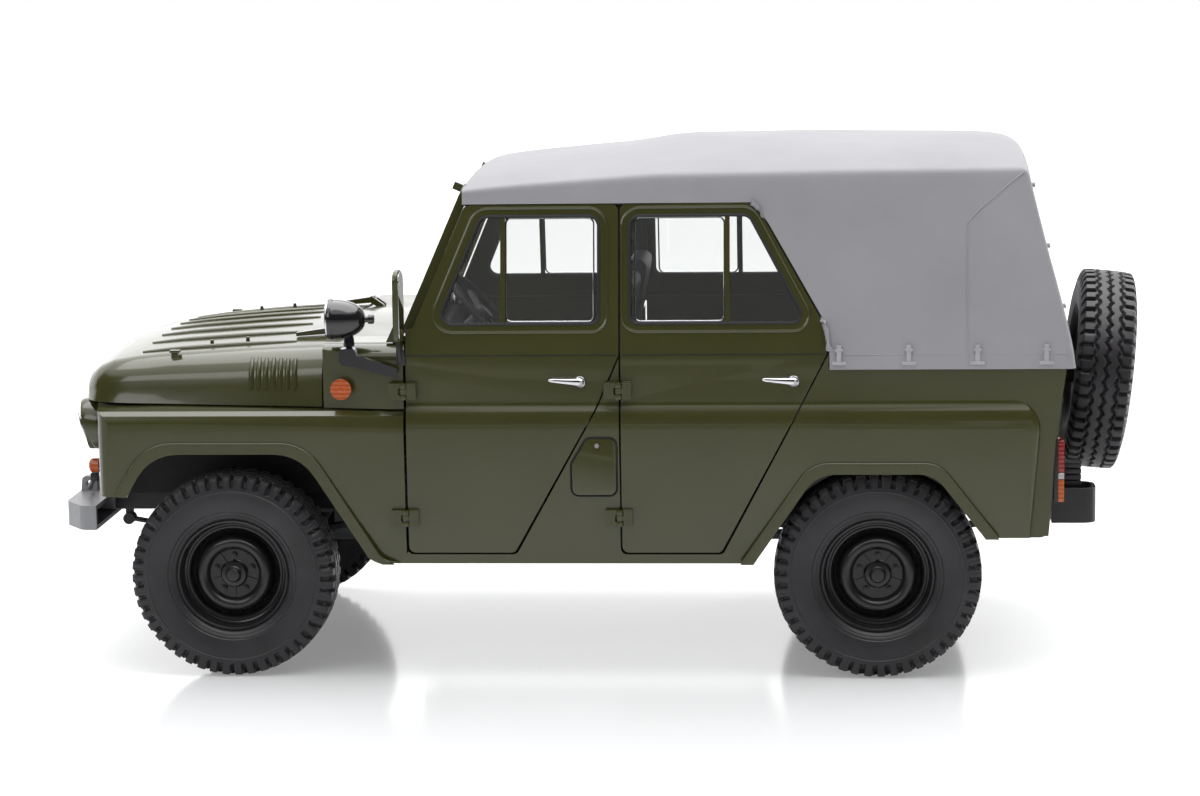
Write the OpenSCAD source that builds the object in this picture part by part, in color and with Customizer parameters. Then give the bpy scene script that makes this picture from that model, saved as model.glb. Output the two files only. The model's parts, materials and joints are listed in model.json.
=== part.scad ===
// Model of an open-bodied army 4x4 car with a moulded canvas top, at one eighth
// of full size.  The car faces -X, its left side faces -Y and the tyres stand on
// z = 0.  Inside every module x is measured back from the front axle.

/* [Overall] */
// Distance between the front and rear axles
wheelbase = 297.5; // [260:0.5:370]
// Distance between the centre planes of two wheels on one axle
track = 180; // [172:0.5:184]
// Half the width of the body at its shoulder
body_half_w = 108.5; // [106:0.1:116]
// Front axle to the front face of the bumper
front_overhang = 83.5; // [82:0.5:96]
// Rear axle to the outer face of the rear panel at the belt
rear_body_length = 86.5; // [80:0.5:110]

/* [Heights] */
// Underside of the sills
sill_z = 54.2; // [52:0.1:56]
// Bottom edge of the doors
door_bottom_z = 58.9; // [58:0.1:64]
// Shoulder pressing that runs along the wings and doors
shoulder_z = 125; // [118:0.1:128]
// Belt, where the lower doors meet their window frames
belt_z = 150.2; // [147:0.1:152]
// Top of the door window frames
rail_z = 217.8; // [205:0.1:230]
// Crown of the roof
roof_z = 243.6; // [242:0.1:262]

/* [Wheels] */
// Tyre radius
tyre_r = 47.5; // [44:0.1:49]
// Tyre width
tyre_w = 27; // [22:0.1:29]
// Radius of the rim where the tyre seats
rim_r = 24; // [20:0.1:26]
// Radius of the axle spindle that each wheel turns on
spindle_r = 3; // [2.4:0.1:3.6]
// Wheel centre plane to the kingpin axis
kingpin_offset = 12; // [10:0.5:15]
// Radius of the kingpins
kingpin_r = 2; // [1.5:0.1:2.4]

/* [Doors] */
// Front edge of the front doors
front_door_x = 83; // [80:0.5:88]
// Seam between the front and rear doors
middle_seam_x = 181; // [174:0.5:190]
// Thickness of a door below the belt
door_t = 5; // [4:0.1:6]
// Thickness of the window frames and of the body sides
panel_t = 3; // [2:0.1:4]
// Gap round each door, bonnet and tailgate
shut_gap = 0.8; // [0.6:0.05:1.2]
// Radius of the door hinge pins
hinge_pin_r = 0.8; // [0.6:0.05:1]
// Thickness of the window panes
glass_t = 1; // [0.8:0.1:1.5]
// Half the width across the window rails at the top of the doors
rail_half_w = 94; // [88:0.5:98]

/* [Fits] */
// Radial clearance of a shaft in its hole
running = 0.08; // [0.05:0.01:0.1]
// Gap between pieces that sit against each other
seat_gap = 0.3; // [0.2:0.05:0.4]

/* [Spare wheel] */
// Lean of the spare wheel, its foot towards the car
spare_lean = 6; // [0:0.5:8]
// Height of the spare wheel's centre
spare_z = 128.5; // [125:0.5:140]
// Rear panel at the belt to the near side of the spare tyre
spare_clear = 6.3; // [5:0.1:20]

/* [Hidden] */
$fn = 64;

LEFT = -1;
RIGHT = 1;

GREEN = "darkolivegreen";
BLACK = "#1d1d1f";
CANVAS = "#8b8c90";
GLASS = "#b9c4c4";
CHROME = "#d8d8d8";
ORANGE = "#d9641e";
RED = "#b03030";

axle_z = tyre_r;                       // the tyres stand on z = 0
rear_x = wheelbase + rear_body_length; // rear panel at the belt, from the front axle
spare_x = rear_x + spare_clear + tyre_w / 2;
spare_reach = max([for (p = tyre_section()) p[1] * cos(spare_lean) + p[0] * sin(spare_lean)]);
front_axle_x = (front_overhang - spare_x - spare_reach) / 2;

// ---- helpers ---------------------------------------------------------------

// An x-z outline made into a solid from y0 to y1
module side_plate(points, y0, y1) {
  translate([0, y1, 0]) rotate([90, 0, 0]) linear_extrude(y1 - y0) polygon(points);
}

// A y-z outline made into a solid from x0 to x1
module section_bar(points, x0, x1) {
  translate([x0, 0, 0]) rotate([90, 0, 90]) linear_extrude(x1 - x0) polygon(points);
}

// An x-y outline made into a solid from z0 to z1
module plan_plate(points, z0, z1) {
  translate([0, 0, z0]) linear_extrude(z1 - z0) polygon(points);
}

// A block given by its two opposite corners
module block(low, high) {
  translate(low) cube(high - low);
}

// A cylinder along Y between y0 and y1
module cross_rod(x, z, y0, y1, r) {
  translate([x, y1, z]) rotate([90, 0, 0]) cylinder(h = y1 - y0, r = r);
}

// A cylinder along X between x0 and x1
module long_rod(y, z, x0, x1, r) {
  translate([x0, y, z]) rotate([0, 90, 0]) cylinder(h = x1 - x0, r = r);
}

module from_front_axle() {
  translate([front_axle_x, 0, 0]) children();
}

// What is modelled on the right-hand side, put on one side or on both
module on_side(side) {
  mirror([0, side == LEFT ? 1 : 0, 0]) children();
}

module on_both_sides() {
  for (side = [LEFT, RIGHT]) on_side(side) children();
}

function reversed(list) = [for (i = [len(list) - 1 : -1 : 0]) list[i]];

// One corner of an outline rounded by an arc: a and b are its neighbours
function corner_arc(a, p, b, r, steps) =
  let(u = (a - p) / norm(a - p), v = (b - p) / norm(b - p),
      half = acos(max(-1, min(1, u * v))) / 2,
      reach = r / tan(half),
      centre = p + (u + v) / norm(u + v) * r / sin(half),
      from = p + u * reach - centre, to = p + v * reach - centre,
      a0 = atan2(from[1], from[0]), turn = atan2(to[1], to[0]) - a0,
      sweep = turn > 180 ? turn - 360 : turn < -180 ? turn + 360 : turn)
  [for (i = [0 : steps]) centre + r * [cos(a0 + sweep * i / steps), sin(a0 + sweep * i / steps)]];

// An outline of [x, y, radius] points, each corner rounded by its own radius
function rounded(points, steps = 5) =
  let(n = len(points))
  [for (i = [0 : n - 1])
    let(a = points[(i + n - 1) % n], p = points[i], b = points[(i + 1) % n])
    each p[2] > 0
      ? corner_arc([a[0], a[1]], [p[0], p[1]], [b[0], b[1]], p[2], steps)
      : [[p[0], p[1]]]];

// A closed shell through equal rings of points: the first half of each ring is its
// outer arch, the second half the inner arch run backwards
module loft(rings) {
  n = len(rings[0]);
  last = (len(rings) - 1) * n;
  polyhedron(
    points = [for (ring = rings) each ring],
    faces = concat(
      [for (i = [0 : n / 2 - 2]) each [[i + 1, i, n - 1 - i], [i + 1, n - 1 - i, n - 2 - i]]],
      [for (k = [0 : n : last - n], i = [0 : n - 1])
        let(j = (i + 1) % n)
        each [[k + i, k + j, k + n + i], [k + j, k + n + j, k + n + i]]],
      [for (i = [0 : n / 2 - 2])
        each [[last + i, last + i + 1, last + n - 1 - i],
              [last + i + 1, last + n - 2 - i, last + n - 1 - i]]]));
}

// Cuts and plates of one side run between these
inside_y = 40;
outside_y = body_half_w + 12;

// ---- the body side ---------------------------------------------------------

upper_band_inset = 3.4;    // the band between shoulder and belt lies this far in
belt_half_w = body_half_w - upper_band_inset;

// The outer surface of the doors and sides as y-z points, sill to rail, set in by t
function wall_line(t = 0) = [
  [body_half_w - 3 - t, sill_z],
  [body_half_w - 1.2 - t, sill_z + 22],
  [body_half_w - 0.3 - t, shoulder_z - 25],
  [body_half_w - t, shoulder_z - 9],
  [body_half_w - 0.3 - t, shoulder_z - 4],
  [body_half_w - 1.2 - t, shoulder_z - 0.5],
  [body_half_w - 2.6 - t, shoulder_z + 2],
  [belt_half_w + 0.1 - t, shoulder_z + 4],
  [belt_half_w - t, belt_z],
  [rail_half_w - t, rail_z]];

function wall_band(t) = concat(wall_line(0), reversed(wall_line(t)));

// Lower corner of the slanting windscreen line, and its run for each mm of height
screen_base_z = 160;
screen_base_x = 80.6;
screen_slope = 0.433;
screen_angle = atan(screen_slope);
function screen_x(z) = screen_base_x + (z - screen_base_z) * screen_slope;

// The front doors' window frames stand this far behind the windscreen line
door_behind_screen = 5;
frame_start_z = 163;

// ---- wheel arches ------------------------------------------------------------

front_arch_top_z = 105.5;
rear_arch_top_z = 95.8;
wing_foot_z = 85.6;          // bottom of the wing ahead of the arch
rear_foot_z = sill_z + 12;   // bottom of the body behind the rear arch
lip_w = 4.8;                 // width of the pressed lip round an arch
lip_proud = 0.8;

// Openings round the wheels; grow moves each edge out by that much
function front_arch(grow = 0) = rounded([
  [-48.5 - grow * 1.16, sill_z - 20, 0],
  [-46.7 - grow * 1.16, wing_foot_z, 0],
  [-35 - grow * 0.57, front_arch_top_z + grow, 22],
  [34.2 + grow * 0.55, front_arch_top_z + grow, 22],
  [65.5 + grow * 1.15, sill_z + 2.2, 8],
  [78 + grow, sill_z - 2.5, 0],
  [78 + grow, sill_z - 20, 0]]);

function rear_arch(grow = 0) = rounded([
  [wheelbase - 56.4 - grow * 1.22, sill_z - 20, 0],
  [wheelbase - 56.4 - grow * 1.22, sill_z, 0],
  [wheelbase - 27.6 - grow * 0.52, rear_arch_top_z + grow, 16],
  [wheelbase + 25.3 + grow * 0.49, rear_arch_top_z + grow, 14],
  [wheelbase + 48.4 + grow * 1.27, rear_foot_z, 0],
  [wheelbase + 48.4 + grow * 1.27, sill_z - 20, 0]]);

// ---- doors -------------------------------------------------------------------

// Slanting rear edges of the doors, from the sill up to the belt
front_door_foot_x = 132.5;
front_door_knee = [170, 125.5];
function rear_door_foot_x() = wheelbase - 70.6;
function rear_door_knee() = [wheelbase - 37.6, 121];
function rear_door_back_x() = wheelbase - 22.4;
slant_base_z = 161.5;        // foot of the rear door's slanting window frame
slant_top = 32.5;            // the slant's run at the rail

function front_door_outline(g = 0) = rounded([
  [front_door_x + g, door_bottom_z + g, 3],
  [front_door_foot_x - g * 1.1, door_bottom_z + g, 3],
  [front_door_knee[0] - g, front_door_knee[1], 0],
  [middle_seam_x - g, belt_z, 0],
  [middle_seam_x - g, rail_z, 3],
  [screen_x(rail_z) + door_behind_screen, rail_z, 4],
  [screen_x(frame_start_z) + door_behind_screen, frame_start_z, 3],
  [front_door_x + g, frame_start_z - 2, 0]]);

function rear_door_outline(g = 0) = rounded([
  [middle_seam_x + g, door_bottom_z + g, 3],
  [rear_door_foot_x() - g * 1.1, door_bottom_z + g, 3],
  [rear_door_knee()[0] - g, rear_door_knee()[1], 0],
  [rear_door_back_x() - g, belt_z, 0],
  [rear_door_back_x() - g, slant_base_z, 4],
  [rear_door_back_x() - slant_top, rail_z, 6],
  [middle_seam_x + g, rail_z, 3]]);

function front_window(g = 0) = rounded([
  [screen_x(165) + 14.4 - g, 164 - g, 5],
  [middle_seam_x - 9 + g, 164 - g, 4],
  [middle_seam_x - 9 + g, rail_z - 5 + g, 5],
  [screen_x(rail_z - 5) + 14.4 - g, rail_z - 5 + g, 5]]);

function rear_window(g = 0) = rounded([
  [middle_seam_x + 4.5 - g, 164 - g, 4],
  [rear_door_back_x() - 11 + g, 164 - g, 4],
  [rear_door_back_x() - 12 + g, 170, 4],
  [rear_door_back_x() - slant_top - 2.5 + g, rail_z - 5 + g, 5],
  [middle_seam_x + 4.5 - g, rail_z - 5 + g, 5]]);

divider_w = 2.2;
front_divider_x = 128;
rear_divider_x = wheelbase - 67.5;

// A door: lower body, window frame and the upright divider between its panes
module door_solid(outline, window, divider_x) {
  x0 = min([for (p = outline) p[0]]) - 1;
  x1 = max([for (p = outline) p[0]]) + 1;
  intersection() {
    side_plate(outline, inside_y, outside_y);
    difference() {
      union() {
        section_bar(wall_band(panel_t), x0, x1);
        intersection() {
          section_bar(wall_band(door_t), x0, x1);
          block([x0, inside_y, sill_z - 5], [x1, outside_y, belt_z + 3]);
        }
      }
      difference() {
        side_plate(window, inside_y, outside_y);
        block([divider_x - divider_w / 2, inside_y, sill_z],
              [divider_x + divider_w / 2, outside_y, rail_z]);
      }
    }
  }
}

// The two panes of one door, let into a groove-free rebate behind the frame
module door_panes(window, divider_x) {
  x0 = min([for (p = window) p[0]]) - 1;
  x1 = max([for (p = window) p[0]]) + 1;
  inner = panel_t / 2 + glass_t / 2;
  outer = panel_t / 2 - glass_t / 2;
  intersection() {
    side_plate(window, inside_y, outside_y);
    section_bar(concat(wall_line(outer), reversed(wall_line(inner))), x0, x1);
    union() {
      block([x0, inside_y, belt_z], [divider_x - divider_w / 2, outside_y, rail_z]);
      block([divider_x + divider_w / 2, inside_y, belt_z], [x1, outside_y, rail_z]);
    }
  }
}

hinge_y = body_half_w + 1.2;      // hinge pins stand just outside the shoulder
knuckle_r = hinge_pin_r + running + 0.7;
hinge_heights = [76, shoulder_z + 9.5];
hinge_h = 7.4;
leaf_l = 5;

// The moving half of one hinge: a knuckle on the pin and a leaf on the door
module door_leaf(pin_x, z) {
  difference() {
    union() {
      translate([pin_x, hinge_y, z - hinge_h / 6]) cylinder(h = hinge_h / 3, r = knuckle_r);
      block([pin_x, door_skin_y(z) + seat_gap, z - hinge_h / 6],
            [pin_x + shut_gap + 1, hinge_y + 0.6, z + hinge_h / 6]);
      block([pin_x + shut_gap + 0.9, door_skin_y(z) - 1.5, z - hinge_h / 2],
            [pin_x + shut_gap + leaf_l, hinge_y + 0.6, z + hinge_h / 2]);
    }
    translate([pin_x, hinge_y, z - hinge_h]) cylinder(h = 2 * hinge_h, r = hinge_pin_r + running);
  }
}

// y of the panels at the lower and the upper hinge
function door_skin_y(z) = z < shoulder_z ? body_half_w - 1.1 : belt_half_w;

// The fixed half: a pin held at both ends by a leaf on the body
module body_leaf(pin_x, z) {
  third = hinge_h / 6 + seat_gap;
  skin = door_skin_y(z) + seat_gap;
  translate([pin_x, hinge_y, z - hinge_h / 2]) cylinder(h = hinge_h, r = hinge_pin_r);
  for (ends = [[z - hinge_h / 2, z - third], [z + third, z + hinge_h / 2]]) {
    translate([pin_x, hinge_y, ends[0]]) cylinder(h = ends[1] - ends[0], r = knuckle_r);
    block([pin_x - knuckle_r - 0.6, skin, ends[0]], [pin_x, hinge_y + 0.6, ends[1]]);
  }
  block([pin_x - knuckle_r - leaf_l, skin, z - hinge_h / 2],
        [pin_x - knuckle_r - 0.5, hinge_y + 0.6, z + hinge_h / 2]);
}

function front_pin_x() = front_door_x - 0.4;
function rear_pin_x() = middle_seam_x - 0.4;

module front_door(side) {
  color(GREEN) from_front_axle() on_side(side) {
    door_solid(front_door_outline(shut_gap / 2), front_window(), front_divider_x);
    for (z = hinge_heights) door_leaf(front_pin_x(), z);
  }
}

module rear_door(side) {
  color(GREEN) from_front_axle() on_side(side) {
    door_solid(rear_door_outline(shut_gap / 2), rear_window(), rear_divider_x);
    for (z = hinge_heights) door_leaf(rear_pin_x(), z);
  }
}

module front_door_glass(side) {
  color(GLASS, 0.5) from_front_axle() on_side(side)
    door_panes(front_window(0), front_divider_x);
}

module rear_door_glass(side) {
  color(GLASS, 0.5) from_front_axle() on_side(side)
    door_panes(rear_window(0), rear_divider_x);
}

handle_z = shoulder_z + 13;
handle_l = 15;
front_handle_x = 163;
rear_handle_x = wheelbase - 37.7;

// A lever handle: a boss on the door and a tapering lever along it
module door_handle(side, pivot_x) {
  color(CHROME) from_front_axle() on_side(side) {
    cross_rod(pivot_x, handle_z, belt_half_w + seat_gap, belt_half_w + 2.6, 1.6);
    translate([0, belt_half_w + 2.4, 0])
      side_plate(rounded([[pivot_x - handle_l + 1, handle_z + 0.2, 0.9],
                          [pivot_x - handle_l + 1, handle_z + 2.2, 0.9],
                          [pivot_x + 2, handle_z + 2, 1.5], [pivot_x + 2, handle_z - 2, 1.5]]), 0, 1.9);
  }
}

// ---- fixed body --------------------------------------------------------------

// Rear end of the side's bulge in x-z, drawn in by t
bulge_rear_x = rear_x - 13.4;
bulge_corner_r = 13;
function bulge_outline(t) = rounded([
  [front_door_x - 6, sill_z - 2, 0], [bulge_rear_x - 5.4 - t, sill_z - 2, 0],
  [bulge_rear_x - t, shoulder_z - 11, 40], [bulge_rear_x - 0.5 - t, shoulder_z + 4 - t, bulge_corner_r - t],
  [bulge_rear_x - 60, shoulder_z + 5 - t / 4, 0], [front_door_x - 6, shoulder_z + 5, 0]]);

// y of the bulge's skin and how far its end is drawn in there, from root to crest
bulge_ends = [[belt_half_w - 0.4, 0], [belt_half_w + 0.4, 0.1], [belt_half_w + 1.7, 0.8],
              [belt_half_w + 2.7, 2], [belt_half_w + 3.3, 3.6], [body_half_w + 0.2, 6]];

// Solid between the bulge's outlines at rising y
module bulge_space() {
  rings = [for (e = bulge_ends) [for (p = bulge_outline(e[1])) [p[0], e[0], p[1]]]];
  n = len(rings[0]);
  last = (len(rings) - 1) * n;
  polyhedron(
    points = [for (ring = rings) each ring],
    faces = concat([[for (i = [n - 1 : -1 : 0]) i]],
      [for (k = [0 : n : last - n], i = [0 : n - 1])
        let(j = (i + 1) % n)
        each [[k + i, k + j, k + n + i], [k + j, k + n + j, k + n + i]]],
      [[for (i = [0 : n - 1]) last + i]]));
}

// The side's skin: at the rear the flat of the upper band runs down behind the bulge
module side_wall() {
  lining = belt_half_w - panel_t;
  thick_x = bulge_rear_x - 16;
  section_bar(wall_band(panel_t), front_door_x - 4, thick_x + 2);
  section_bar(concat([[belt_half_w, sill_z]], [for (i = [8 : 9]) wall_line()[i]],
                     [for (i = [9 : -1 : 8]) wall_line(panel_t)[i]], [[lining, sill_z]]),
              thick_x, rear_x + 1);
  intersection() {
    section_bar(concat([for (i = [0 : 7]) wall_line()[i]],
                       [[belt_half_w - 0.3, shoulder_z + 4], [belt_half_w - 0.3, sill_z]]),
                thick_x, rear_x + 1);
    bulge_space();
  }
}

// Panel between and behind the doors: sill, middle panel and rear quarter
module body_side(side) {
  g = shut_gap / 2;
  color(GREEN) from_front_axle() on_side(side) {
    intersection() {
      side_wall();
      difference() {
        side_plate(rounded([
          [front_door_x - shut_gap, sill_z, 0],
          [wheelbase - 56.4, sill_z, 10],
          [wheelbase - 40, sill_z + 23.7, 0],
          [wheelbase + 36, 82, 0],
          [wheelbase + 48.4, rear_foot_z, 4],
          [rear_x - 9.8, rear_foot_z, 4],
          [rear_x - 8, 90, 30],
          [rear_x - 6.5, 112, 15],
          [rear_x - 2.4, 140, 5],
          [rear_x - 2, top_skirt_z, 0],
          [rear_door_back_x() + g, top_skirt_z, 0],
          [rear_door_back_x() + g, belt_z, 0],
          [middle_seam_x - 2, belt_z, 0],
          [front_door_x - shut_gap, door_bottom_z, 0]]), inside_y, outside_y);
        side_plate(front_door_outline(-g), inside_y, outside_y);
        side_plate(rear_door_outline(-g), inside_y, outside_y);
        side_plate(rear_arch(), inside_y, outside_y);
        block([front_door_x - shut_gap, inside_y, door_bottom_z + 2],
              [front_door_foot_x - 10, outside_y, rail_z]);
      }
    }
    difference() {
      side_plate(rear_arch(lip_w), body_half_w - 1.6, body_half_w + lip_proud - 0.4);
      side_plate(rear_arch(), inside_y, outside_y);
      block([0, inside_y, 0], [wheelbase, outside_y, sill_z]);
      block([wheelbase, inside_y, 0], [rear_x, outside_y, rear_foot_z - 0.3]);
    }
  }
}

top_skirt_z = 144;           // where the soft top's skirt meets the body
toe_board_x = 62;
floor_z = 78;
floor_t = 2;
floor_half_w = body_half_w - 3 - door_t - 1.4;
inner_wing_y = 53;

// Floor, inner sills, toe-board, inner front wings and rear wheel houses
module body_tub() {
  wheel_house_y = track / 2 - tyre_w / 2 - 3.5;
  house_r = tyre_r + 4;
  front = toe_board_x;
  top = floor_z + floor_t;
  color(GREEN) from_front_axle() {
    block([front, -floor_half_w, floor_z], [wheelbase - house_r, floor_half_w, top]);
    block([wheelbase - house_r - 2, -wheel_house_y, floor_z], [rear_x - 12, wheel_house_y, top]);
    block([wheelbase + house_r - 4, -floor_half_w, floor_z], [rear_x - 12, floor_half_w, top]);
    block([front - 2, -floor_half_w, floor_z], [front, floor_half_w, 122]);
    on_both_sides() {
      // inner sill
      block([front, floor_half_w - 5, sill_z + 0.5], [wheelbase - house_r - 3, floor_half_w - 2, top]);
      block([front_door_x, floor_half_w - 3, sill_z + 0.5],
            [wheelbase - house_r - 16, body_half_w - 3 - panel_t - seat_gap, door_bottom_z - 1]);
      // inner front wing and the shelf that closes the wheel well
      block([-58, inner_wing_y, floor_z], [front - 1, inner_wing_y + 2, 122]);
      block([-58, inner_wing_y, 120], [front - 1, wing_inner_y - seat_gap, 122]);
      difference() {
        intersection() {
          cross_rod(wheelbase, axle_z, wheel_house_y, body_half_w - panel_t - 1.6, house_r + 2);
          block([0, 0, floor_z - 4], [rear_x, outside_y, roof_z]);
        }
        cross_rod(wheelbase, axle_z, wheel_house_y + 2, body_half_w, house_r);
      }
    }
  }
}

// Rear wall round the tailgate, with the lugs of the spare wheel's carrier
module rear_panel() {
  lining = panel_t + seat_gap;
  color(GREEN) from_front_axle() {
    difference() {
      intersection() {
        rear_wall(-belt_half_w, belt_half_w, rear_foot_z, top_skirt_z);
        block([rear_x - 30, -belt_half_w + lining, sill_z],
              [rear_x + 1, belt_half_w - lining, top_skirt_z]);
      }
      block([rear_x - 30, -tailgate_half_w, tailgate_z], [rear_x + 5, tailgate_half_w, 200]);
      // the hitch beam comes through here
      block([rear_x - 30, -hitch_half_w - seat_gap, hitch_z0 - seat_gap],
            [rear_x + 5, hitch_half_w + seat_gap, hitch_z1 + seat_gap]);
    }
    for (z = carrier_zs) carrier_lug(z);
  }
}

// Two ears and a pin that one arm of the spare wheel's carrier turns on
module carrier_lug(z) {
  translate([carrier_hinge[0], carrier_hinge[1], z - 4]) cylinder(h = 8, r = carrier_pin_r);
  for (z0 = [z - 4, z + 1.5 + seat_gap])
    block([rear_x - 6.5, carrier_hinge[1] - carrier_knuckle_r, z0],
          [carrier_hinge[0] + 1.6, carrier_hinge[1] + carrier_knuckle_r, z0 + 2.2]);
}

tailgate_half_w = 76;
tailgate_z = 76;
rear_lean = 7;               // the rear face's foot stands this far ahead of its top

// x of the rear face at height z
function rear_face_x(z) =
  rear_x - 2.4 - rear_lean * (top_skirt_z - z) / (top_skirt_z - rear_foot_z);

// A plate on the leaning rear face, its outer surface at out from that face
module rear_wall(y0, y1, z0, z1, out = 0, t = panel_t) {
  side_plate([[rear_face_x(z0) + out - t, z0], [rear_face_x(z0) + out, z0],
              [rear_face_x(z1) + out, z1], [rear_face_x(z1) + out - t, z1]], y0, y1);
}

module tailgate() {
  g = shut_gap / 2;
  color(GREEN) from_front_axle() {
    rear_wall(-tailgate_half_w + g, tailgate_half_w - g, tailgate_z + g, top_skirt_z - 0.5);
  }
}

// ---- front end ---------------------------------------------------------------

wing_top_z = shoulder_z + 0.5;
bonnet_rear_x = 44.6;
nose_x = -73;
wing_front_x = -59;

// Half-width of the bonnet's foot at its rear
bonnet_rear_half_w = 100;

// y-z section of a front wing, from its inner edge round the shoulder
wing_inner_y = 84.4;
function wing_section(t) = concat(
  [[wing_inner_y, sill_z - 20], [wing_inner_y, wing_top_z - t]],
  [[body_half_w - 9, wing_top_z - t], [body_half_w - 4 - t * 0.5, wing_top_z - 0.6 - t],
   [body_half_w - 1.5 - t * 0.8, wing_top_z - 2.5 - t * 0.6],
   [body_half_w - 0.3 - t, wing_top_z - 6], [body_half_w - t, wing_top_z - 11],
   [body_half_w - 0.3 - t, shoulder_z - 25], [body_half_w - 1.2 - t, sill_z + 22],
   [body_half_w - 3 - t, sill_z], [body_half_w - 3 - t, sill_z - 20]]);

// x-y plan of a front wing: its front corner is rounded
function wing_plan(t) = rounded([
  [front_door_x - shut_gap, wing_inner_y, 0],
  [nose_x + 9.2 + t, wing_inner_y, 0],
  [wing_front_x + t, body_half_w - t * 0.2, 8],
  [front_door_x - shut_gap, body_half_w - t * 0.2, 0]]);

module front_wing(side) {
  color(GREEN) from_front_axle() on_side(side) {
    difference() {
      intersection() {
        side_plate(rounded([
          [nose_x, wing_foot_z, 2], [-46.9, wing_foot_z, 3.5], [-40, wing_foot_z + 11.5, 0],
          [-40, 70, 0], [60, sill_z, 0],
          [front_door_x - shut_gap, sill_z, 0], [front_door_x - shut_gap, wing_top_z, 0],
          [-30, wing_top_z, 0], [nose_x, wing_top_z - 1, 9]]), wing_inner_y, outside_y);
        section_bar(wing_section(0), nose_x - 1, front_door_x + 1);
        plan_plate(wing_plan(0), 0, roof_z);
      }
      intersection() {
        side_plate([[nose_x, 40], [front_door_x - shut_gap - 3, 40],
                    [front_door_x - shut_gap - 3, wing_top_z - 3], [nose_x, wing_top_z - 3]],
                   wing_inner_y - 1, outside_y);
        section_bar([for (p = wing_section(panel_t)) [p[0] - (p[0] == wing_inner_y ? 1 : 0), p[1]]],
                    nose_x, front_door_x);
        plan_plate([for (p = wing_plan(panel_t)) [p[0], p[1] - (p[1] == wing_inner_y ? 1 : 0)]],
                   0, roof_z);
      }
      // room for the floor and the inner sill
      block([toe_board_x - 3, inside_y, sill_z - 20],
            [front_door_x + 1, floor_half_w + seat_gap, wing_top_z - panel_t]);
      side_plate(front_arch(), inside_y, outside_y);
    }
    difference() {
      intersection() {
        side_plate(front_arch(lip_w), body_half_w - 1.6, body_half_w + lip_proud - 0.4);
        block([wing_front_x + 4, inside_y, sill_z], [front_door_x - shut_gap, outside_y, roof_z]);
      }
      side_plate(front_arch(), inside_y, outside_y);
      block([nose_x, inside_y, 0], [-20, outside_y, wing_foot_z]);
    }
  }
}

// Outline of the bonnet at one station, from one foot over the crown to the other
bonnet_foot_z = shoulder_z + 1.2;
function bonnet_arch(half, top) =
  let(tall = top - bonnet_foot_z, crown = min(3, 0.2 * tall),
      r = min(16, 0.6 * tall), lean = min(2.2, 0.1 * tall),
      side = concat([[half, bonnet_foot_z]],
        [for (i = [0 : 6]) let(a = i * 15) [half - lean - r + r * cos(a), top - crown - r + r * sin(a)]],
        [for (i = [1 : 5]) let(f = 1 - i / 6) [(half - lean - r) * f, top - crown * f * f]]))
  concat(side, [[0, top]], [for (p = reversed(side)) [-p[0], p[1]]]);

// Stations along the bonnet: x, half-width at the foot, crown height, wall at the
// sides and wall at the top, which is thick where the nose closes
bonnet_t = 2.4;
bonnet_stations = [
  [nose_x - 0.4, 60, 7, 3, 5], [nose_x + 0.4, 68, 11.5, 3, 8], [nose_x + 3, 76, 16, 3, 5.5],
  [nose_x + 8, 82, 20, 2.8, 3.6], [nose_x + 15, 85.5, 22.8, 2.6, 2.8],
  [nose_x + 26, 87.5, 24.6, bonnet_t, bonnet_t],
  [nose_x + 43, 89.6, 26.4, bonnet_t, bonnet_t], [0, 94, 28.6, bonnet_t, bonnet_t],
  [bonnet_rear_x - 21, 97, 30, bonnet_t, bonnet_t],
  [bonnet_rear_x - shut_gap, bonnet_rear_half_w, 31.2, bonnet_t, bonnet_t]];

function bonnet_ring(s) =
  let(outer = bonnet_arch(s[1], shoulder_z + s[2]),
      inner = bonnet_arch(s[1] - s[3], shoulder_z + s[2] - s[4]))
  [for (p = concat(outer, reversed(inner))) [s[0], p[0], p[1]]];

module bonnet() {
  color(GREEN) from_front_axle() loft([for (s = bonnet_stations) bonnet_ring(s)]);
}

// Straps on the bonnet that end in knuckles on the cowl's hinge pins
module bonnet_straps() {
  color(GREEN) from_front_axle() on_both_sides() bonnet_knuckle();
}

bonnet_hinge_y = 60;
bonnet_hinge_x = bonnet_rear_x + 0.6;
bonnet_hinge_z = 156.9;
bonnet_pin_r = 1;

// A strap along the bonnet that ends in a knuckle on the hinge pin
module bonnet_knuckle() {
  r = bonnet_pin_r + running + 0.8;
  difference() {
    union() {
      cross_rod(bonnet_hinge_x, bonnet_hinge_z, bonnet_hinge_y - 2, bonnet_hinge_y + 2, r);
      side_plate([[bonnet_hinge_x - 19, 153.9], [bonnet_hinge_x - 1.2, 155.2], [bonnet_hinge_x, 158.3],
                  [bonnet_hinge_x - 19, 155.6]], bonnet_hinge_y - 2, bonnet_hinge_y + 2);
    }
    cross_rod(bonnet_hinge_x, bonnet_hinge_z, bonnet_hinge_y - 3, bonnet_hinge_y + 3,
              bonnet_pin_r + running);
  }
}

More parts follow.
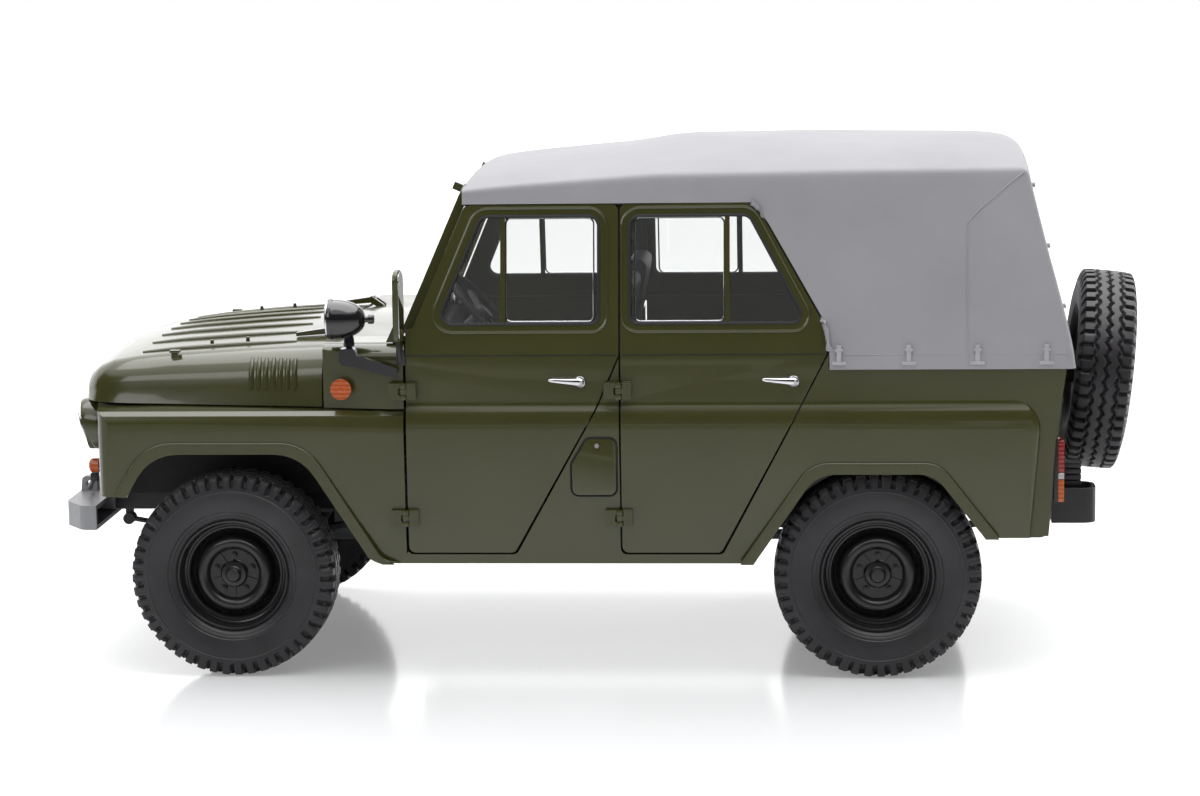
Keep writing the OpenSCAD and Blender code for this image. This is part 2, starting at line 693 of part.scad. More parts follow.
// Grille panel between the wings, with a bowl for each headlight
headlight_y = 66;
headlight_z = 113.5;
headlight_r = 10.5;
panel_foot_z = 87;          // lower edge of the front panel
module front_panel() {
  color(GREEN) from_front_axle() difference() {
    union() {
      plan_plate(concat(
        [for (i = [0 : 12]) let(y = -84 + i * 14) [nose_x + 9 * pow(abs(y) / 84, 2), y]],
        [for (i = [12 : -1 : 0]) let(y = -84 + i * 14) [nose_x + 3 + 9 * pow(abs(y) / 84, 2), y]]),
        panel_foot_z, shoulder_z + 0.5);
      on_both_sides() long_rod(headlight_y, headlight_z, nose_x + 1, nose_x + 12, headlight_r + 1.5);
    }
    on_both_sides() long_rod(headlight_y, headlight_z, nose_x - 5, nose_x + 11, headlight_r + seat_gap);
    for (i = [0 : 6]) let(z = 92 + i * 4.4)
      block([nose_x - 1, -46, z], [nose_x + 8, 46, z + 2.2]);
  }
}

module headlights() {
  color(CHROME) from_front_axle() on_both_sides() {
    difference() {
      long_rod(headlight_y, headlight_z, nose_x - 1.5, nose_x + 9, headlight_r);
      translate([nose_x - 14, headlight_y, headlight_z]) sphere(r = 13);
    }
  }
}

indicator_y = 70;
indicator_z = 94.1;
indicator_r = 3.4;
repeater_r = 4.8;
repeater_x = 53.5;
repeater_z = shoulder_z + 10;
module indicators() {
  color(ORANGE) from_front_axle() on_both_sides() {
    long_rod(indicator_y, indicator_z, nose_x + 1.8, nose_x + 5.2, indicator_r);
    cross_rod(repeater_x, repeater_z, cowl_y(repeater_x + repeater_r) + seat_gap,
              cowl_y(repeater_x) + 4.5, repeater_r);
  }
}

// Side of the cowl: it widens from the bonnet to the doors
function cowl_y(x) = bonnet_rear_half_w + (belt_half_w - bonnet_rear_half_w)
                     * min(1, (x - bonnet_rear_x) / 30);

cowl_top_z = 156.5;
cowl_foot_z = wing_top_z + seat_gap;
module cowl() {
  rear = front_door_x - shut_gap;
  outer = [[bonnet_rear_x, 0], [bonnet_rear_x, bonnet_rear_half_w],
           [bonnet_rear_x + 30, belt_half_w], [rear, belt_half_w], [rear, 0]];
  inner = [[bonnet_rear_x - 1, -1], [bonnet_rear_x - 1, bonnet_rear_half_w - 2.6],
           [bonnet_rear_x + 30, belt_half_w - 2.6], [rear + 1, belt_half_w - 2.6], [rear + 1, -1]];
  color(GREEN) from_front_axle() {
    on_both_sides() difference() {
      intersection() {
        plan_plate(outer, cowl_foot_z, cowl_top_z + 2);
        section_bar(cowl_section(0), bonnet_rear_x - 1, rear + 1);
      }
      intersection() {
        plan_plate(inner, cowl_foot_z - 1, cowl_top_z + 2);
        section_bar(cowl_section(2.6), bonnet_rear_x - 2, rear + 2);
      }
    }
    // firewall, and the rail that the windscreen stands on
    block([bonnet_rear_x + 3, -inner_wing_y + 0.5, 84], [bonnet_rear_x + 5, inner_wing_y - 0.5, 152]);
    block([bonnet_rear_x + 3, -bonnet_rear_half_w + 4, cowl_foot_z],
          [bonnet_rear_x + 5, bonnet_rear_half_w - 4, 152]);
    block([rear - 6, -screen_foot_half_w + 4, 150], [rear, screen_foot_half_w - 4, cowl_top_z + 1.5]);
    on_both_sides() cowl_hinge();
  }
}

function cowl_section(t) = concat(
  [[0, cowl_foot_z - t * 2], [belt_half_w - t, cowl_foot_z - t * 2],
   [belt_half_w - t, belt_z - 2]],
  [for (i = [0 : 5]) let(a = i * 18)
    [belt_half_w - 12 - t + 10 * cos(a), belt_z - 3 + (8 - t) * sin(a)]],
  [[60, cowl_top_z - 3 - t], [30, cowl_top_z - 0.8 - t], [0, cowl_top_z - t]]);

module cowl_hinge() {
  cross_rod(bonnet_hinge_x, bonnet_hinge_z, bonnet_hinge_y - 5, bonnet_hinge_y + 5, bonnet_pin_r);
  for (y = [bonnet_hinge_y - 5, bonnet_hinge_y + 2 + seat_gap])
    side_plate([[bonnet_hinge_x - 1.9, bonnet_hinge_z], [bonnet_hinge_x, bonnet_hinge_z - 1.9],
                [bonnet_hinge_x + 6, 152], [bonnet_hinge_x + 6, 154.6],
                [bonnet_hinge_x, bonnet_hinge_z + 1.9]], y, y + 2.7);
}

// ---- windscreen ----------------------------------------------------------------

screen_t = 4.2;
screen_h = (rail_z + 9 - screen_base_z) / cos(screen_angle);
screen_foot_half_w = 98;
screen_head_half_w = 88;

module in_screen_plane() {
  translate([screen_base_x, 0, screen_base_z]) rotate([0, screen_angle, 0]) children();
}

function screen_pane(g) = rounded([
  [4 - g, 7 - g, 4], [screen_foot_half_w - 8 + g, 7 - g, 6],
  [screen_head_half_w - 6.5 + g, screen_h - 8 + g, 6], [4 - g, screen_h - 8 + g, 4]]);

module windscreen_frame() {
  color(GREEN) from_front_axle() {
    in_screen_plane() difference() {
      section_bar(rounded([
        [-screen_foot_half_w, 0, 3], [screen_foot_half_w, 0, 3],
        [screen_head_half_w, screen_h, 7], [-screen_head_half_w, screen_h, 7]]), 0, screen_t);
      on_both_sides() section_bar(screen_pane(0), -1, screen_t + 1);
    }
    on_both_sides() {
      // triangular hinge brackets at the foot
      side_plate([[screen_base_x - 7, cowl_top_z - 0.9], [screen_base_x + 1, cowl_top_z - 0.9],
                  [screen_base_x + 1, screen_base_z + 8], [screen_base_x - 3, screen_base_z + 4]],
                 screen_foot_half_w - 3, screen_foot_half_w - 0.5);
      // rests on the header that carry the frame when it is folded down
      in_screen_plane() block([-6, 58, screen_h - 7], [0, 62, screen_h - 3.5]);
    }
  }
}

module windscreen_glass() {
  color(GLASS, 0.5) from_front_axle() in_screen_plane() on_both_sides()
    section_bar(screen_pane(0), screen_t / 2 - glass_t / 2, screen_t / 2 + glass_t / 2);
}

// ---- soft top ------------------------------------------------------------------

top_t = 2;
function roof_section(t) = [
  [belt_half_w + 0.2 - t, 100], [belt_half_w + 0.2 - t, belt_z], [rail_half_w + 0.2 - t, rail_z],
  [rail_half_w - 2.5 - t, rail_z + 6.5 - t * 0.4], [rail_half_w - 7.5 - t * 0.7, rail_z + 13 - t * 0.7],
  [rail_half_w - 17, rail_z + 18 - t], [rail_half_w - 34, rail_z + 22 - t],
  [rail_half_w - 60, roof_z - 1.8 - t], [0, roof_z - t],
  [-(rail_half_w - 60), roof_z - 1.8 - t], [-(rail_half_w - 34), rail_z + 22 - t],
  [-(rail_half_w - 17), rail_z + 18 - t], [-(rail_half_w - 7.5 - t * 0.7), rail_z + 13 - t * 0.7],
  [-(rail_half_w - 2.5 - t), rail_z + 6.5 - t * 0.4], [-(rail_half_w + 0.2 - t), rail_z],
  [-(belt_half_w + 0.2 - t), belt_z], [-(belt_half_w + 0.2 - t), 100]];

header_x = screen_x(rail_z + 9);
function top_profile(t) = rounded([
  [header_x - 0.5 - (t > 0 ? 10 : 0), rail_z + 1, 0],
  [header_x - 0.5 - (t > 0 ? 10 : 0), rail_z + 11.4 - t, 0],
  [header_x + 10, rail_z + 15.3 - t, 4],
  [186, roof_z - 4 - t, 20], [210, roof_z - t, 20],
  [rear_x - 25 - t * 0.5, roof_z - 2 - t, 6],
  [rear_x - 19.5 - t, rail_z + 17 - t, 5],
  [rear_x - 12.3 - t, 203, 30],
  [rear_x - 4.5 - t, 174, 30],
  [rear_x + 1.2 - t, 152, 8],
  [rear_x + 1.5 - t, top_skirt_z + seat_gap - (t > 0 ? 3 : 0), 0],
  [rear_x - 110, top_skirt_z + seat_gap - (t > 0 ? 3 : 0), 0]]);

module soft_top() {
  g = 1.2;
  color(CANVAS) from_front_axle() difference() {
    intersection() {
      side_plate(top_profile(0), -outside_y, outside_y);
      section_bar(roof_section(0), header_x - 2, rear_x + 3);
    }
    intersection() {
      side_plate(top_profile(top_t), -outside_y, outside_y);
      section_bar([for (p = roof_section(top_t)) [p[0], p[1] == 100 ? 90 : p[1]]],
                  header_x - 12, rear_x + 3);
    }
    // cut away along the tops and the slanting backs of the doors
    side_plate([[header_x - 20, 100], [rear_door_back_x() + g, 100],
                [rear_door_back_x() + g, slant_base_z + 0.5],
                [rear_door_back_x() - slant_top + g + 0.8, rail_z + g], [header_x - 20, rail_z + g]],
               -outside_y, outside_y);
  }
}

// ---- interior ------------------------------------------------------------------

seat_y = 46;
seat_z = 96;
module front_seats() {
  color(BLACK) from_front_axle() on_both_sides() {
    block([118, seat_y - 26, seat_z], [172, seat_y + 26, seat_z + 16]);
    side_plate(rounded([[163, seat_z + 16.3, 3], [175, seat_z + 16.3, 3], [187, 180, 4], [177, 180, 4]]),
               seat_y - 25, seat_y + 25);
    block([122, seat_y - 22, floor_z + floor_t + seat_gap], [168, seat_y + 22, seat_z]);
  }
}

module rear_bench() {
  color(BLACK) from_front_axle() {
    block([226, -66, seat_z], [274, 66, seat_z + 16]);
    side_plate(rounded([[266, seat_z + 16.3, 3], [278, seat_z + 16.3, 3], [290, 178, 4], [280, 178, 4]]),
               -66, 66);
    block([232, -62, floor_z + floor_t + seat_gap], [244, 62, seat_z]);
  }
}

module dashboard() {
  color(BLACK) from_front_axle()
    side_plate(rounded([[66, 128, 2], [84, 128, 3], [88, 143, 3], [85, 149.5, 3], [66, 149.5, 2]]),
               -96, 96);
}

steering_y = -seat_y;
steering_centre = [114, 163];
steering_tilt = 48;      // lean of the column from the vertical
steering_wheel_r = 25;

module on_column() {
  from_front_axle() translate([steering_centre[0], steering_y, steering_centre[1]])
    rotate([0, steering_tilt, 0]) children();
}

module steering_wheel() {
  color(BLACK) on_column() {
    rotate_extrude() translate([steering_wheel_r - 1.6, 0]) circle(r = 1.6, $fn = 24);
    difference() {
      translate([0, 0, -5]) cylinder(h = 6, r = 4);
      translate([0, 0, -6]) cylinder(h = 4, r = 2 + running);
    }
    for (a = [0, 120, 240]) rotate([0, 0, a])
      translate([3, -1.2, -3]) cube([steering_wheel_r - 4.4, 2.4, 2.4]);
  }
}

module steering_column() {
  color(BLACK) difference() {
    on_column() {
      translate([0, 0, -40]) cylinder(h = 34.6, r = 3.4);
      translate([0, 0, -40]) cylinder(h = 37.7, r = 2);
    }
    // everything ahead of the dashboard's rear face
    from_front_axle() side_plate([[40, 100], [76.9, 100], [88.35, 143], [88.35, 170], [40, 170]], -100, 0);
  }
}

// ---- outside fittings ------------------------------------------------------------

mirror_x = 79;
module mirrors() {
  color(GREEN) from_front_axle() on_both_sides() {
    block([mirror_x, body_half_w - 7.5, 164], [mirror_x + 1.6, body_half_w + 4.5, 189]);
    cross_rod(mirror_x + 2.2, 170, body_half_w - 3, body_half_w - 1, 0.9);
    translate([mirror_x + 2.2, body_half_w - 2, 147]) cylinder(h = 24, r = 0.9);
    block([mirror_x, belt_half_w + seat_gap, 145.5], [mirror_x + 3.6, body_half_w - 1, 148]);
  }
}

lamp_x = 57.5;
lamp_y = -(body_half_w - 5);
lamp_z = 167;
lamp_r = 9.5;
lamp_stalk_r = 1.5;

// Arm from the cowl's side forward to the search lamp's pivot
module lamp_arm() {
  color(BLACK) from_front_axle() mirror([0, 1, 0]) {
    translate([lamp_x, 0, lamp_z]) {
      side_plate(rounded([[2, -21, 2], [22, -26.5, 2], [23, -22, 2], [4, -16, 2], [0, -16, 1]]),
                 belt_half_w + seat_gap, belt_half_w + 3.6);
      side_plate(rounded([[-4, -20.5, 2], [4, -21.5, 2], [4, -15.5, 2], [3, -13, 1], [-4, -13, 1]]),
                 belt_half_w - 1.8, belt_half_w + 3.6);
      translate([0, -lamp_y, -14]) cylinder(h = 3.6, r = lamp_stalk_r);
    }
  }
}

module search_lamp() {
  color(BLACK) from_front_axle() translate([lamp_x, lamp_y, lamp_z]) {
    difference() {
      union() {
        rotate([0, 90, 0]) rotate_extrude() polygon([
          [0, -lamp_r], [lamp_r, -lamp_r], [lamp_r, -lamp_r + 4.5], [lamp_r - 0.7, 0],
          [lamp_r - 2.4, 4],
          [lamp_r - 5.3, 7], [2, 8], [2, 12], [0, 12]]);
        translate([0, 0, -lamp_r - 3]) cylinder(h = 5, r = 2.6);
      }
      translate([0, 0, -lamp_r - 3.5]) cylinder(h = 4, r = lamp_stalk_r + running);
    }
  }
}

tail_lamp_t = 2.6;
tail_lamp_z = [82, 110];
module tail_lamps() {
  back = rear_face_x(tail_lamp_z[1]) + seat_gap + tail_lamp_t;
  color(RED) from_front_axle() on_both_sides()
    side_plate([[rear_face_x(tail_lamp_z[0]) + seat_gap, tail_lamp_z[0]], [back, tail_lamp_z[0]],
                [back, tail_lamp_z[1]], [rear_face_x(tail_lamp_z[1]) + seat_gap, tail_lamp_z[1]]],
               belt_half_w - 12.5, belt_half_w - 2.5);
}

module door_hinges() {
  color(GREEN) from_front_axle() on_both_sides()
    for (x = [front_pin_x(), rear_pin_x()], z = hinge_heights) body_leaf(x, z);
}

// ---- running gear ------------------------------------------------------------------

rail_y = 40;      // inner face of a chassis rail
rail_w = 8;
rail_z0 = 69;
rail_h = floor_z - seat_gap - rail_z0;
module chassis_frame() {
  rail_end = rear_face_x(rail_z0) - panel_t - seat_gap;
  color(BLACK) from_front_axle() {
    on_both_sides() difference() {
      block([-66, rail_y, rail_z0], [rail_end, rail_y + rail_w, rail_z0 + rail_h]);
      block([-60, rail_y - 1, rail_z0 + 1.5], [rear_x - 18, rail_y + rail_w - 2, rail_z0 + rail_h - 1.5]);
    }
    for (x = [-58, 44, 150, wheelbase - 40, rear_x - 24])
      block([x, -rail_y - 2, rail_z0], [x + 8, rail_y + 2, rail_z0 + rail_h]);
  }
}

engine_y = 19;
// Engine, gearbox, transfer case, propeller shafts, radiator and exhaust
module powertrain() {
  shaft_r = 2.5;
  pipe_y = 27;
  pipe_z = 58;
  color("#3a3d3c") from_front_axle() {
    block([-28, -engine_y, 62], [34, engine_y, 138]);
    block([34, -12, 50], [96, 12, rail_z0 - seat_gap]);
    block([96, -16, 40], [130, 12, floor_z - 1.5]);
    long_rod(0, axle_z, nose_end + seat_gap, 96, shaft_r);
    long_rod(0, axle_z, 130, wheelbase - nose_end - seat_gap, shaft_r);
    block([-56, -46, rail_z0 + rail_h + seat_gap], [-48, 46, 128]);
    block([8, engine_y, 96], [28, pipe_y + 3, 104]);
    translate([18, pipe_y, pipe_z - 2.4]) cylinder(h = 98 - pipe_z, r = 2.4);
    long_rod(pipe_y, pipe_z, 16, 250, 2.4);
    long_rod(pipe_y, pipe_z, 140, 196, 6);
  }
}

nose_end = 21;      // length of an axle's pinion nose

axle_tube_r = 5;
diff_r = 13;
function spindle_end() = track / 2 + 9;

module front_axle() {
  yoke_y = track / 2 - kingpin_offset;
  color(BLACK) from_front_axle() {
    cross_rod(0, axle_z, -(yoke_y - 7), yoke_y - 7, axle_tube_r);
    translate([0, 0, axle_z]) sphere(r = diff_r);
    long_rod(0, axle_z, 0, nose_end, 6);
    on_both_sides() difference() {
      union() {
        block([-4, yoke_y - 9, axle_z - 12], [4, yoke_y - 5, axle_z + 12]);
        for (z = [axle_z - 12, axle_z + 9]) block([-4, yoke_y - 9, z], [4, yoke_y + 4, z + 3]);
      }
      translate([0, yoke_y, axle_z - 20]) cylinder(h = 40, r = kingpin_r + running);
    }
  }
}

// Steering knuckle: kingpin, block between the yoke's ears and wheel spindle
module knuckle(side) {
  yoke_y = track / 2 - kingpin_offset;
  color(BLACK) from_front_axle() on_side(side) {
    translate([0, yoke_y, axle_z - 12]) cylinder(h = 24, r = kingpin_r);
    block([-4, yoke_y - 3.5, axle_z - 8.6], [4, yoke_y + 5, axle_z + 8.6]);
    cross_rod(0, axle_z, yoke_y + 4, spindle_end(), spindle_r);
  }
}

module rear_axle() {
  color(BLACK) from_front_axle() {
    cross_rod(wheelbase, axle_z, -(track / 2 - 7), track / 2 - 7, axle_tube_r);
    cross_rod(wheelbase, axle_z, -spindle_end(), spindle_end(), spindle_r);
    translate([wheelbase, 0, axle_z]) sphere(r = diff_r);
    long_rod(0, axle_z, wheelbase - nose_end, wheelbase, 6);
  }
}

spring_l = 120;
spring_camber = 6;
spring_y = rail_y + rail_w / 2;
leaf_t = 1.2;
leaf_step = spring_l / 12;   // each leaf is shorter than the one above by this at either end

// One cambered leaf, its middle on z = 0
module leaf(half) {
  function line(z) = [for (x = [-half : leaf_step : half])
    [x, z + spring_camber * pow(2 * x / spring_l, 2)]];
  side_plate(concat(line(0), reversed(line(leaf_t))), spring_y - 3, spring_y + 3);
}

// One leaf pack above its axle, with eyes hung under the chassis rail
module spring_pack(centre_x) {
  main_z = axle_z + axle_tube_r + 5;
  eye_z = main_z + spring_camber;
  for (i = [0 : 3]) translate([centre_x, 0, main_z - i * leaf_t]) leaf(spring_l / 2 - i * leaf_step);
  for (x = [centre_x - spring_l / 2, centre_x + spring_l / 2]) {
    cross_rod(x, eye_z + leaf_t / 2, spring_y - 3, spring_y + 3, 2.8);
    block([x - 1.6, spring_y - 2, eye_z + 1], [x + 1.6, spring_y + 2, rail_z0]);
  }
  block([centre_x - 5, spring_y - 3, axle_z + axle_tube_r + seat_gap],
        [centre_x + 5, spring_y + 3, main_z - 3 * leaf_t]);
}

module leaf_springs() {
  color(BLACK) from_front_axle() on_both_sides() {
    spring_pack(0);
    spring_pack(wheelbase);
  }
}

module fuel_tanks() {
  color(BLACK) from_front_axle() on_both_sides()
    block([118, 52, sill_z + 3], [168, 92, floor_z - seat_gap]);
}

bumper_z = [66, 77.5];
bumper_half_w = 86;
bumper_end_x = -66.5;
bumper_t = 2;
hook_x = 4.7 - front_overhang;   // holes of the two tow hooks
hook_z = bumper_z[1] + 3.5;
hook_r = 1.6;

// Plan of the bumper, its curved face set in by t
function bumper_plan(t) = rounded([
  [bumper_end_x + t * 4, -bumper_half_w + t, 0], [bumper_end_x - 7 + t, -bumper_half_w + t, 5 - t / 2],
  [t - front_overhang, -bumper_half_w + 14 + t / 2, 8 - t / 2],
  [t - front_overhang, bumper_half_w - 14 - t / 2, 8 - t / 2],
  [bumper_end_x - 7 + t, bumper_half_w - t, 5 - t / 2], [bumper_end_x + t * 4, bumper_half_w - t, 0]]);

module front_bumper() {
  color(BLACK) from_front_axle() {
    difference() {
      plan_plate(bumper_plan(0), bumper_z[0], bumper_z[1]);
      plan_plate(bumper_plan(bumper_t), bumper_z[0] + bumper_t, bumper_z[1] - bumper_t);
    }
    on_both_sides() {
      block([bumper_t / 2 - front_overhang, rail_y, rail_z0],
            [bumper_end_x + 0.5, rail_y + rail_w, rail_z0 + 6]);
      // tow hooks stand on the bumper
      difference() {
        side_plate(rounded([[hook_x - 4.1, bumper_z[1] - 1, 0], [hook_x + 3.9, bumper_z[1] - 1, 0],
                            [hook_x + 3.9, hook_z + 3.6, 2], [hook_x - 3.4, hook_z + 3.6, 2]]),
                   rail_y + 1, rail_y + 6);
        cross_rod(hook_x, hook_z, rail_y, rail_y + 7, hook_r);
      }
    }
  }
}

bumperette_y = [70, 90];
bumperette_z = [70, 86];
bumperette_t = 2;
// Closed loops of strip that stand on the rear face
module rear_bumpers() {
  x0 = rear_face_x(bumperette_z[1]) + seat_gap;
  x1 = rear_x + 13;
  t = bumperette_t;
  color(BLACK) from_front_axle() on_both_sides() difference() {
    plan_plate(rounded([[x0, bumperette_y[0], 0], [x1, bumperette_y[0], 6],
                        [x1, bumperette_y[1], 6], [x0, bumperette_y[1], 0]]),
               bumperette_z[0], bumperette_z[1]);
    plan_plate(rounded([[x0 + t, bumperette_y[0] + t, 1], [x1 - t, bumperette_y[0] + t, 4],
                        [x1 - t, bumperette_y[1] - t, 4], [x0 + t, bumperette_y[1] - t, 1]]),
               bumperette_z[0] - 1, bumperette_z[1] + 1);
  }
}

hitch_pin_r = 2.5;
hitch_half_w = 8;
hitch_z0 = rail_z0 + 0.5;
hitch_z1 = rail_z0 + 5.5;
// Beam on the rear cross member with an eye for a drawbar pin
module tow_hitch() {
  color(BLACK) from_front_axle() {
    block([rear_x - 16 + seat_gap, -hitch_half_w, hitch_z0], [rear_x + 2, hitch_half_w, hitch_z1]);
    difference() {
      side_plate(rounded([[rear_x + 1, 64, 0], [rear_x + 12, 64, 3],
                          [rear_x + 12, 71, 3], [rear_x + 1, 71, 0]]), -5, 5);
      translate([rear_x + 7.5, 0, 60]) cylinder(h = 20, r = hitch_pin_r);
    }
  }
}

// ---- wheels --------------------------------------------------------------------------

// Half-section of a tyre: radius, then distance from its centre plane
function tyre_section() = rounded([
  [rim_r + 0.2, -tyre_w * 0.36, 0], [rim_r + 3, -tyre_w * 0.44, 2], [tyre_r - 12, -tyre_w / 2, 6],
  [tyre_r - 1.5, -tyre_w / 2 + 1.5, 2.5], [tyre_r, -tyre_w * 0.28, 2],
  [tyre_r, tyre_w * 0.28, 2], [tyre_r - 1.5, tyre_w / 2 - 1.5, 2.5],
  [tyre_r - 12, tyre_w / 2, 6], [rim_r + 3, tyre_w * 0.44, 2], [rim_r + 0.2, tyre_w * 0.36, 0]]);

module tyre_shape() {
  rotate([-90, 0, 0]) rotate_extrude() polygon(tyre_section());
}

// Rim with its dished disc: +Y is the outer face
module rim_shape() {
  w = tyre_w * 0.36 - seat_gap;
  rotate([-90, 0, 0]) rotate_extrude() polygon([
    [spindle_r + running, 3], [11.5, 3], [13.5, 6.2], [17.5, 6.2], [rim_r - 4.6, -1],
    [rim_r - 2, -w], [rim_r, -w], [rim_r, w], [rim_r - 1.6, w], [rim_r - 3.4, 3],
    [18.2, 8.6], [13, 8.6], [11.5, 6.6], [spindle_r + running, 6.6]]);
  for (a = [0 : 72 : 359]) rotate([0, a, 0])
    translate([8, 6.5, 0]) rotate([-90, 0, 0]) cylinder(h = 2, r = 1.5, $fn = 6);
}

module tyre_at(x, side) {
  color(BLACK) from_front_axle() on_side(side) translate([x, track / 2, axle_z]) tyre_shape();
}

module rim_at(x, side) {
  color(BLACK) from_front_axle() on_side(side) translate([x, track / 2, axle_z]) rim_shape();
}

// ---- spare wheel -------------------------------------------------------------------------

carrier_hinge = [rear_x + 1.4, 84];
carrier_arm_t = 3;
carrier_pin_r = 1.2;
carrier_knuckle_r = 2.2;
carrier_zs = [116, 135];

module at_spare() {
  from_front_axle() translate([spare_x, 0, spare_z]) rotate([0, spare_lean, 0])
    rotate([0, 0, 90]) children();
}

module spare_tyre() { color(BLACK) at_spare() tyre_shape(); }

module spare_rim() { color(BLACK) at_spare() mirror([0, 1, 0]) rim_shape(); }

// Swinging bracket: two arms from the hinge to a boss that the rim is bolted to
module spare_carrier() {
  disc = 3;       // inner face of the rim's disc, from the wheel's centre plane
  color(GREEN) {
    from_front_axle() {
      for (z = carrier_zs) difference() {
        union() {
          block([carrier_hinge[0] - carrier_arm_t / 2, -20, z - 1.5],
                [carrier_hinge[0] + carrier_arm_t / 2, carrier_hinge[1], z + 1.5]);
          translate([carrier_hinge[0], carrier_hinge[1], z - 1.5]) cylinder(h = 3, r = carrier_knuckle_r);
        }
        translate([carrier_hinge[0], carrier_hinge[1], z - 3]) cylinder(h = 6, r = carrier_pin_r + running);
      }
      block([carrier_hinge[0] - carrier_arm_t / 2, -14, carrier_zs[0] - 1.5],
            [carrier_hinge[0] + carrier_arm_t / 2, 14, carrier_zs[1] + 1.5]);
    }
    at_spare() rotate([-90, 0, 0]) {
      translate([0, 0, seat_gap - disc]) cylinder(h = spare_x - carrier_hinge[0] + disc, r = 8);
      translate([0, 0, -6]) cylinder(h = 10, r = spindle_r);
    }
  }
}

// --------------------------------------------------------------------------------------------

chassis_frame();
powertrain();
front_axle();
rear_axle();
leaf_springs();
fuel_tanks();
front_bumper();
rear_bumpers();
tow_hitch();
body_tub();
body_side(LEFT);  // left_body_side
body_side(RIGHT);  // right_body_side
front_wing(LEFT);  // left_wing
front_wing(RIGHT);  // right_wing
front_panel();
headlights();
indicators();
cowl();
dashboard();
windscreen_frame();
windscreen_glass();
soft_top();
front_seats();
rear_bench();
steering_column();
mirrors();
tail_lamps();
door_hinges();
lamp_arm();
rear_panel();
tailgate();
bonnet();
bonnet_straps();
front_door(LEFT);  // left_front_door
front_door(RIGHT);  // right_front_door
rear_door(LEFT);  // left_rear_door
rear_door(RIGHT);  // right_rear_door
front_door_glass(LEFT);  // left_front_door_glass
front_door_glass(RIGHT);  // right_front_door_glass
rear_door_glass(LEFT);  // left_rear_door_glass
rear_door_glass(RIGHT);  // right_rear_door_glass
door_handle(LEFT, front_handle_x);  // left_front_door_handle
door_handle(RIGHT, front_handle_x);  // right_front_door_handle
door_handle(LEFT, rear_handle_x);  // left_rear_door_handle
door_handle(RIGHT, rear_handle_x);  // right_rear_door_handle
steering_wheel();
search_lamp();
spare_carrier();
spare_rim();
spare_tyre();
knuckle(LEFT);  // left_knuckle
knuckle(RIGHT);  // right_knuckle
rim_at(0, LEFT);  // left_front_rim
rim_at(0, RIGHT);  // right_front_rim
rim_at(wheelbase, LEFT);  // left_rear_rim
rim_at(wheelbase, RIGHT);  // right_rear_rim
tyre_at(0, LEFT);  // left_front_tyre
tyre_at(0, RIGHT);  // right_front_tyre
tyre_at(wheelbase, LEFT);  // left_rear_tyre
tyre_at(wheelbase, RIGHT);  // right_rear_tyre
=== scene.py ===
import json
import math

import bmesh
import bpy
from mathutils import Matrix, Vector, noise as field
from mathutils.bvhtree import BVHTree


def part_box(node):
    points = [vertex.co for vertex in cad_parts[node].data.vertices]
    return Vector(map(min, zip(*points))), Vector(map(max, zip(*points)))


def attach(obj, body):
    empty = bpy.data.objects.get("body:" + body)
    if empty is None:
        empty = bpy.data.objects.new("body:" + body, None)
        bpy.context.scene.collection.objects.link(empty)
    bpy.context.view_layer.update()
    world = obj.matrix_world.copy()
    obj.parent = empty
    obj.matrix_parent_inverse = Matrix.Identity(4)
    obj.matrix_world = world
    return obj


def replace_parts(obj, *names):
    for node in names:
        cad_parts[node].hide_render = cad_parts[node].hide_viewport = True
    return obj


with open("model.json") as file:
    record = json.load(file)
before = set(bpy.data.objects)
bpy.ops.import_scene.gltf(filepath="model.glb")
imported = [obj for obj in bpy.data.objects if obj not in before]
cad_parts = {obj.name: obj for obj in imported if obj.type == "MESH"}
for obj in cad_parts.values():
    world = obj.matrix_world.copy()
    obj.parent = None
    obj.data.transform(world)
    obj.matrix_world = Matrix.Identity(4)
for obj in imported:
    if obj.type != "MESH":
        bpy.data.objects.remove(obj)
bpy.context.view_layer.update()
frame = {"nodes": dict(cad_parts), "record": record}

MM = 0.001
NODES = frame["nodes"]
BODY_OF = {n: b for b, members in frame["record"]["behaviour"]["bodies"].items() for n in members}
low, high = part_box("left_front_rim")
FRONT_X = (low.x + high.x) / 2  # the front axle, in metres as the frame is
AXLE_Z = (low.z + high.z) / 2
# Sizes of the construction in mm, x from the front axle
WHEELBASE = 297.5
NOSE_X = -73.0
SILL_Z = 54.2
SHOULDER_Z = 125.0
BELT_Z = 150.2
RAIL_Z = 217.8
BODY_HALF_W = 108.5
BELT_HALF_W = 105.1
RAIL_HALF_W = 94.0
TRACK_HALF = 90.0
DOOR_FRONT_X = 83.0
DOOR_SEAM_X = 181.0
DOOR_BACK_X = WHEELBASE - 22.4
DOOR_SLANT = 32.5  # how far the rear door's back edge leans between notch and rail
NOTCH_Z = 161.5
LEFT, RIGHT = -1, 1
SIDES = ((LEFT, "left"), (RIGHT, "right"))
AHEAD, ASTERN = Vector((-1, 0, 0)), Vector((1, 0, 0))
OUTWARD, UPWARD = Vector((0, 1, 0)), Vector((0, 0, 1))
scene = bpy.context.scene


def P(x, y, z):
    """A point in the frame: x in mm behind the front axle, y and z in mm."""
    return Vector((FRONT_X + x * MM, y * MM, z * MM))


def circle(count, start=0.0):
    """The angles of count equal steps round a turn, the first one start steps on."""
    return [2 * math.pi * (i + start) / count for i in range(count)]


# ---------------------------------------------------------------- materials


def new_material(name):
    m = bpy.data.materials.new(name)
    m.use_nodes = True
    return m, m.node_tree.nodes, m.node_tree.links, m.node_tree.nodes["Principled BSDF"]


def object_coords(nodes):
    return nodes.new("ShaderNodeTexCoord").outputs["Object"]


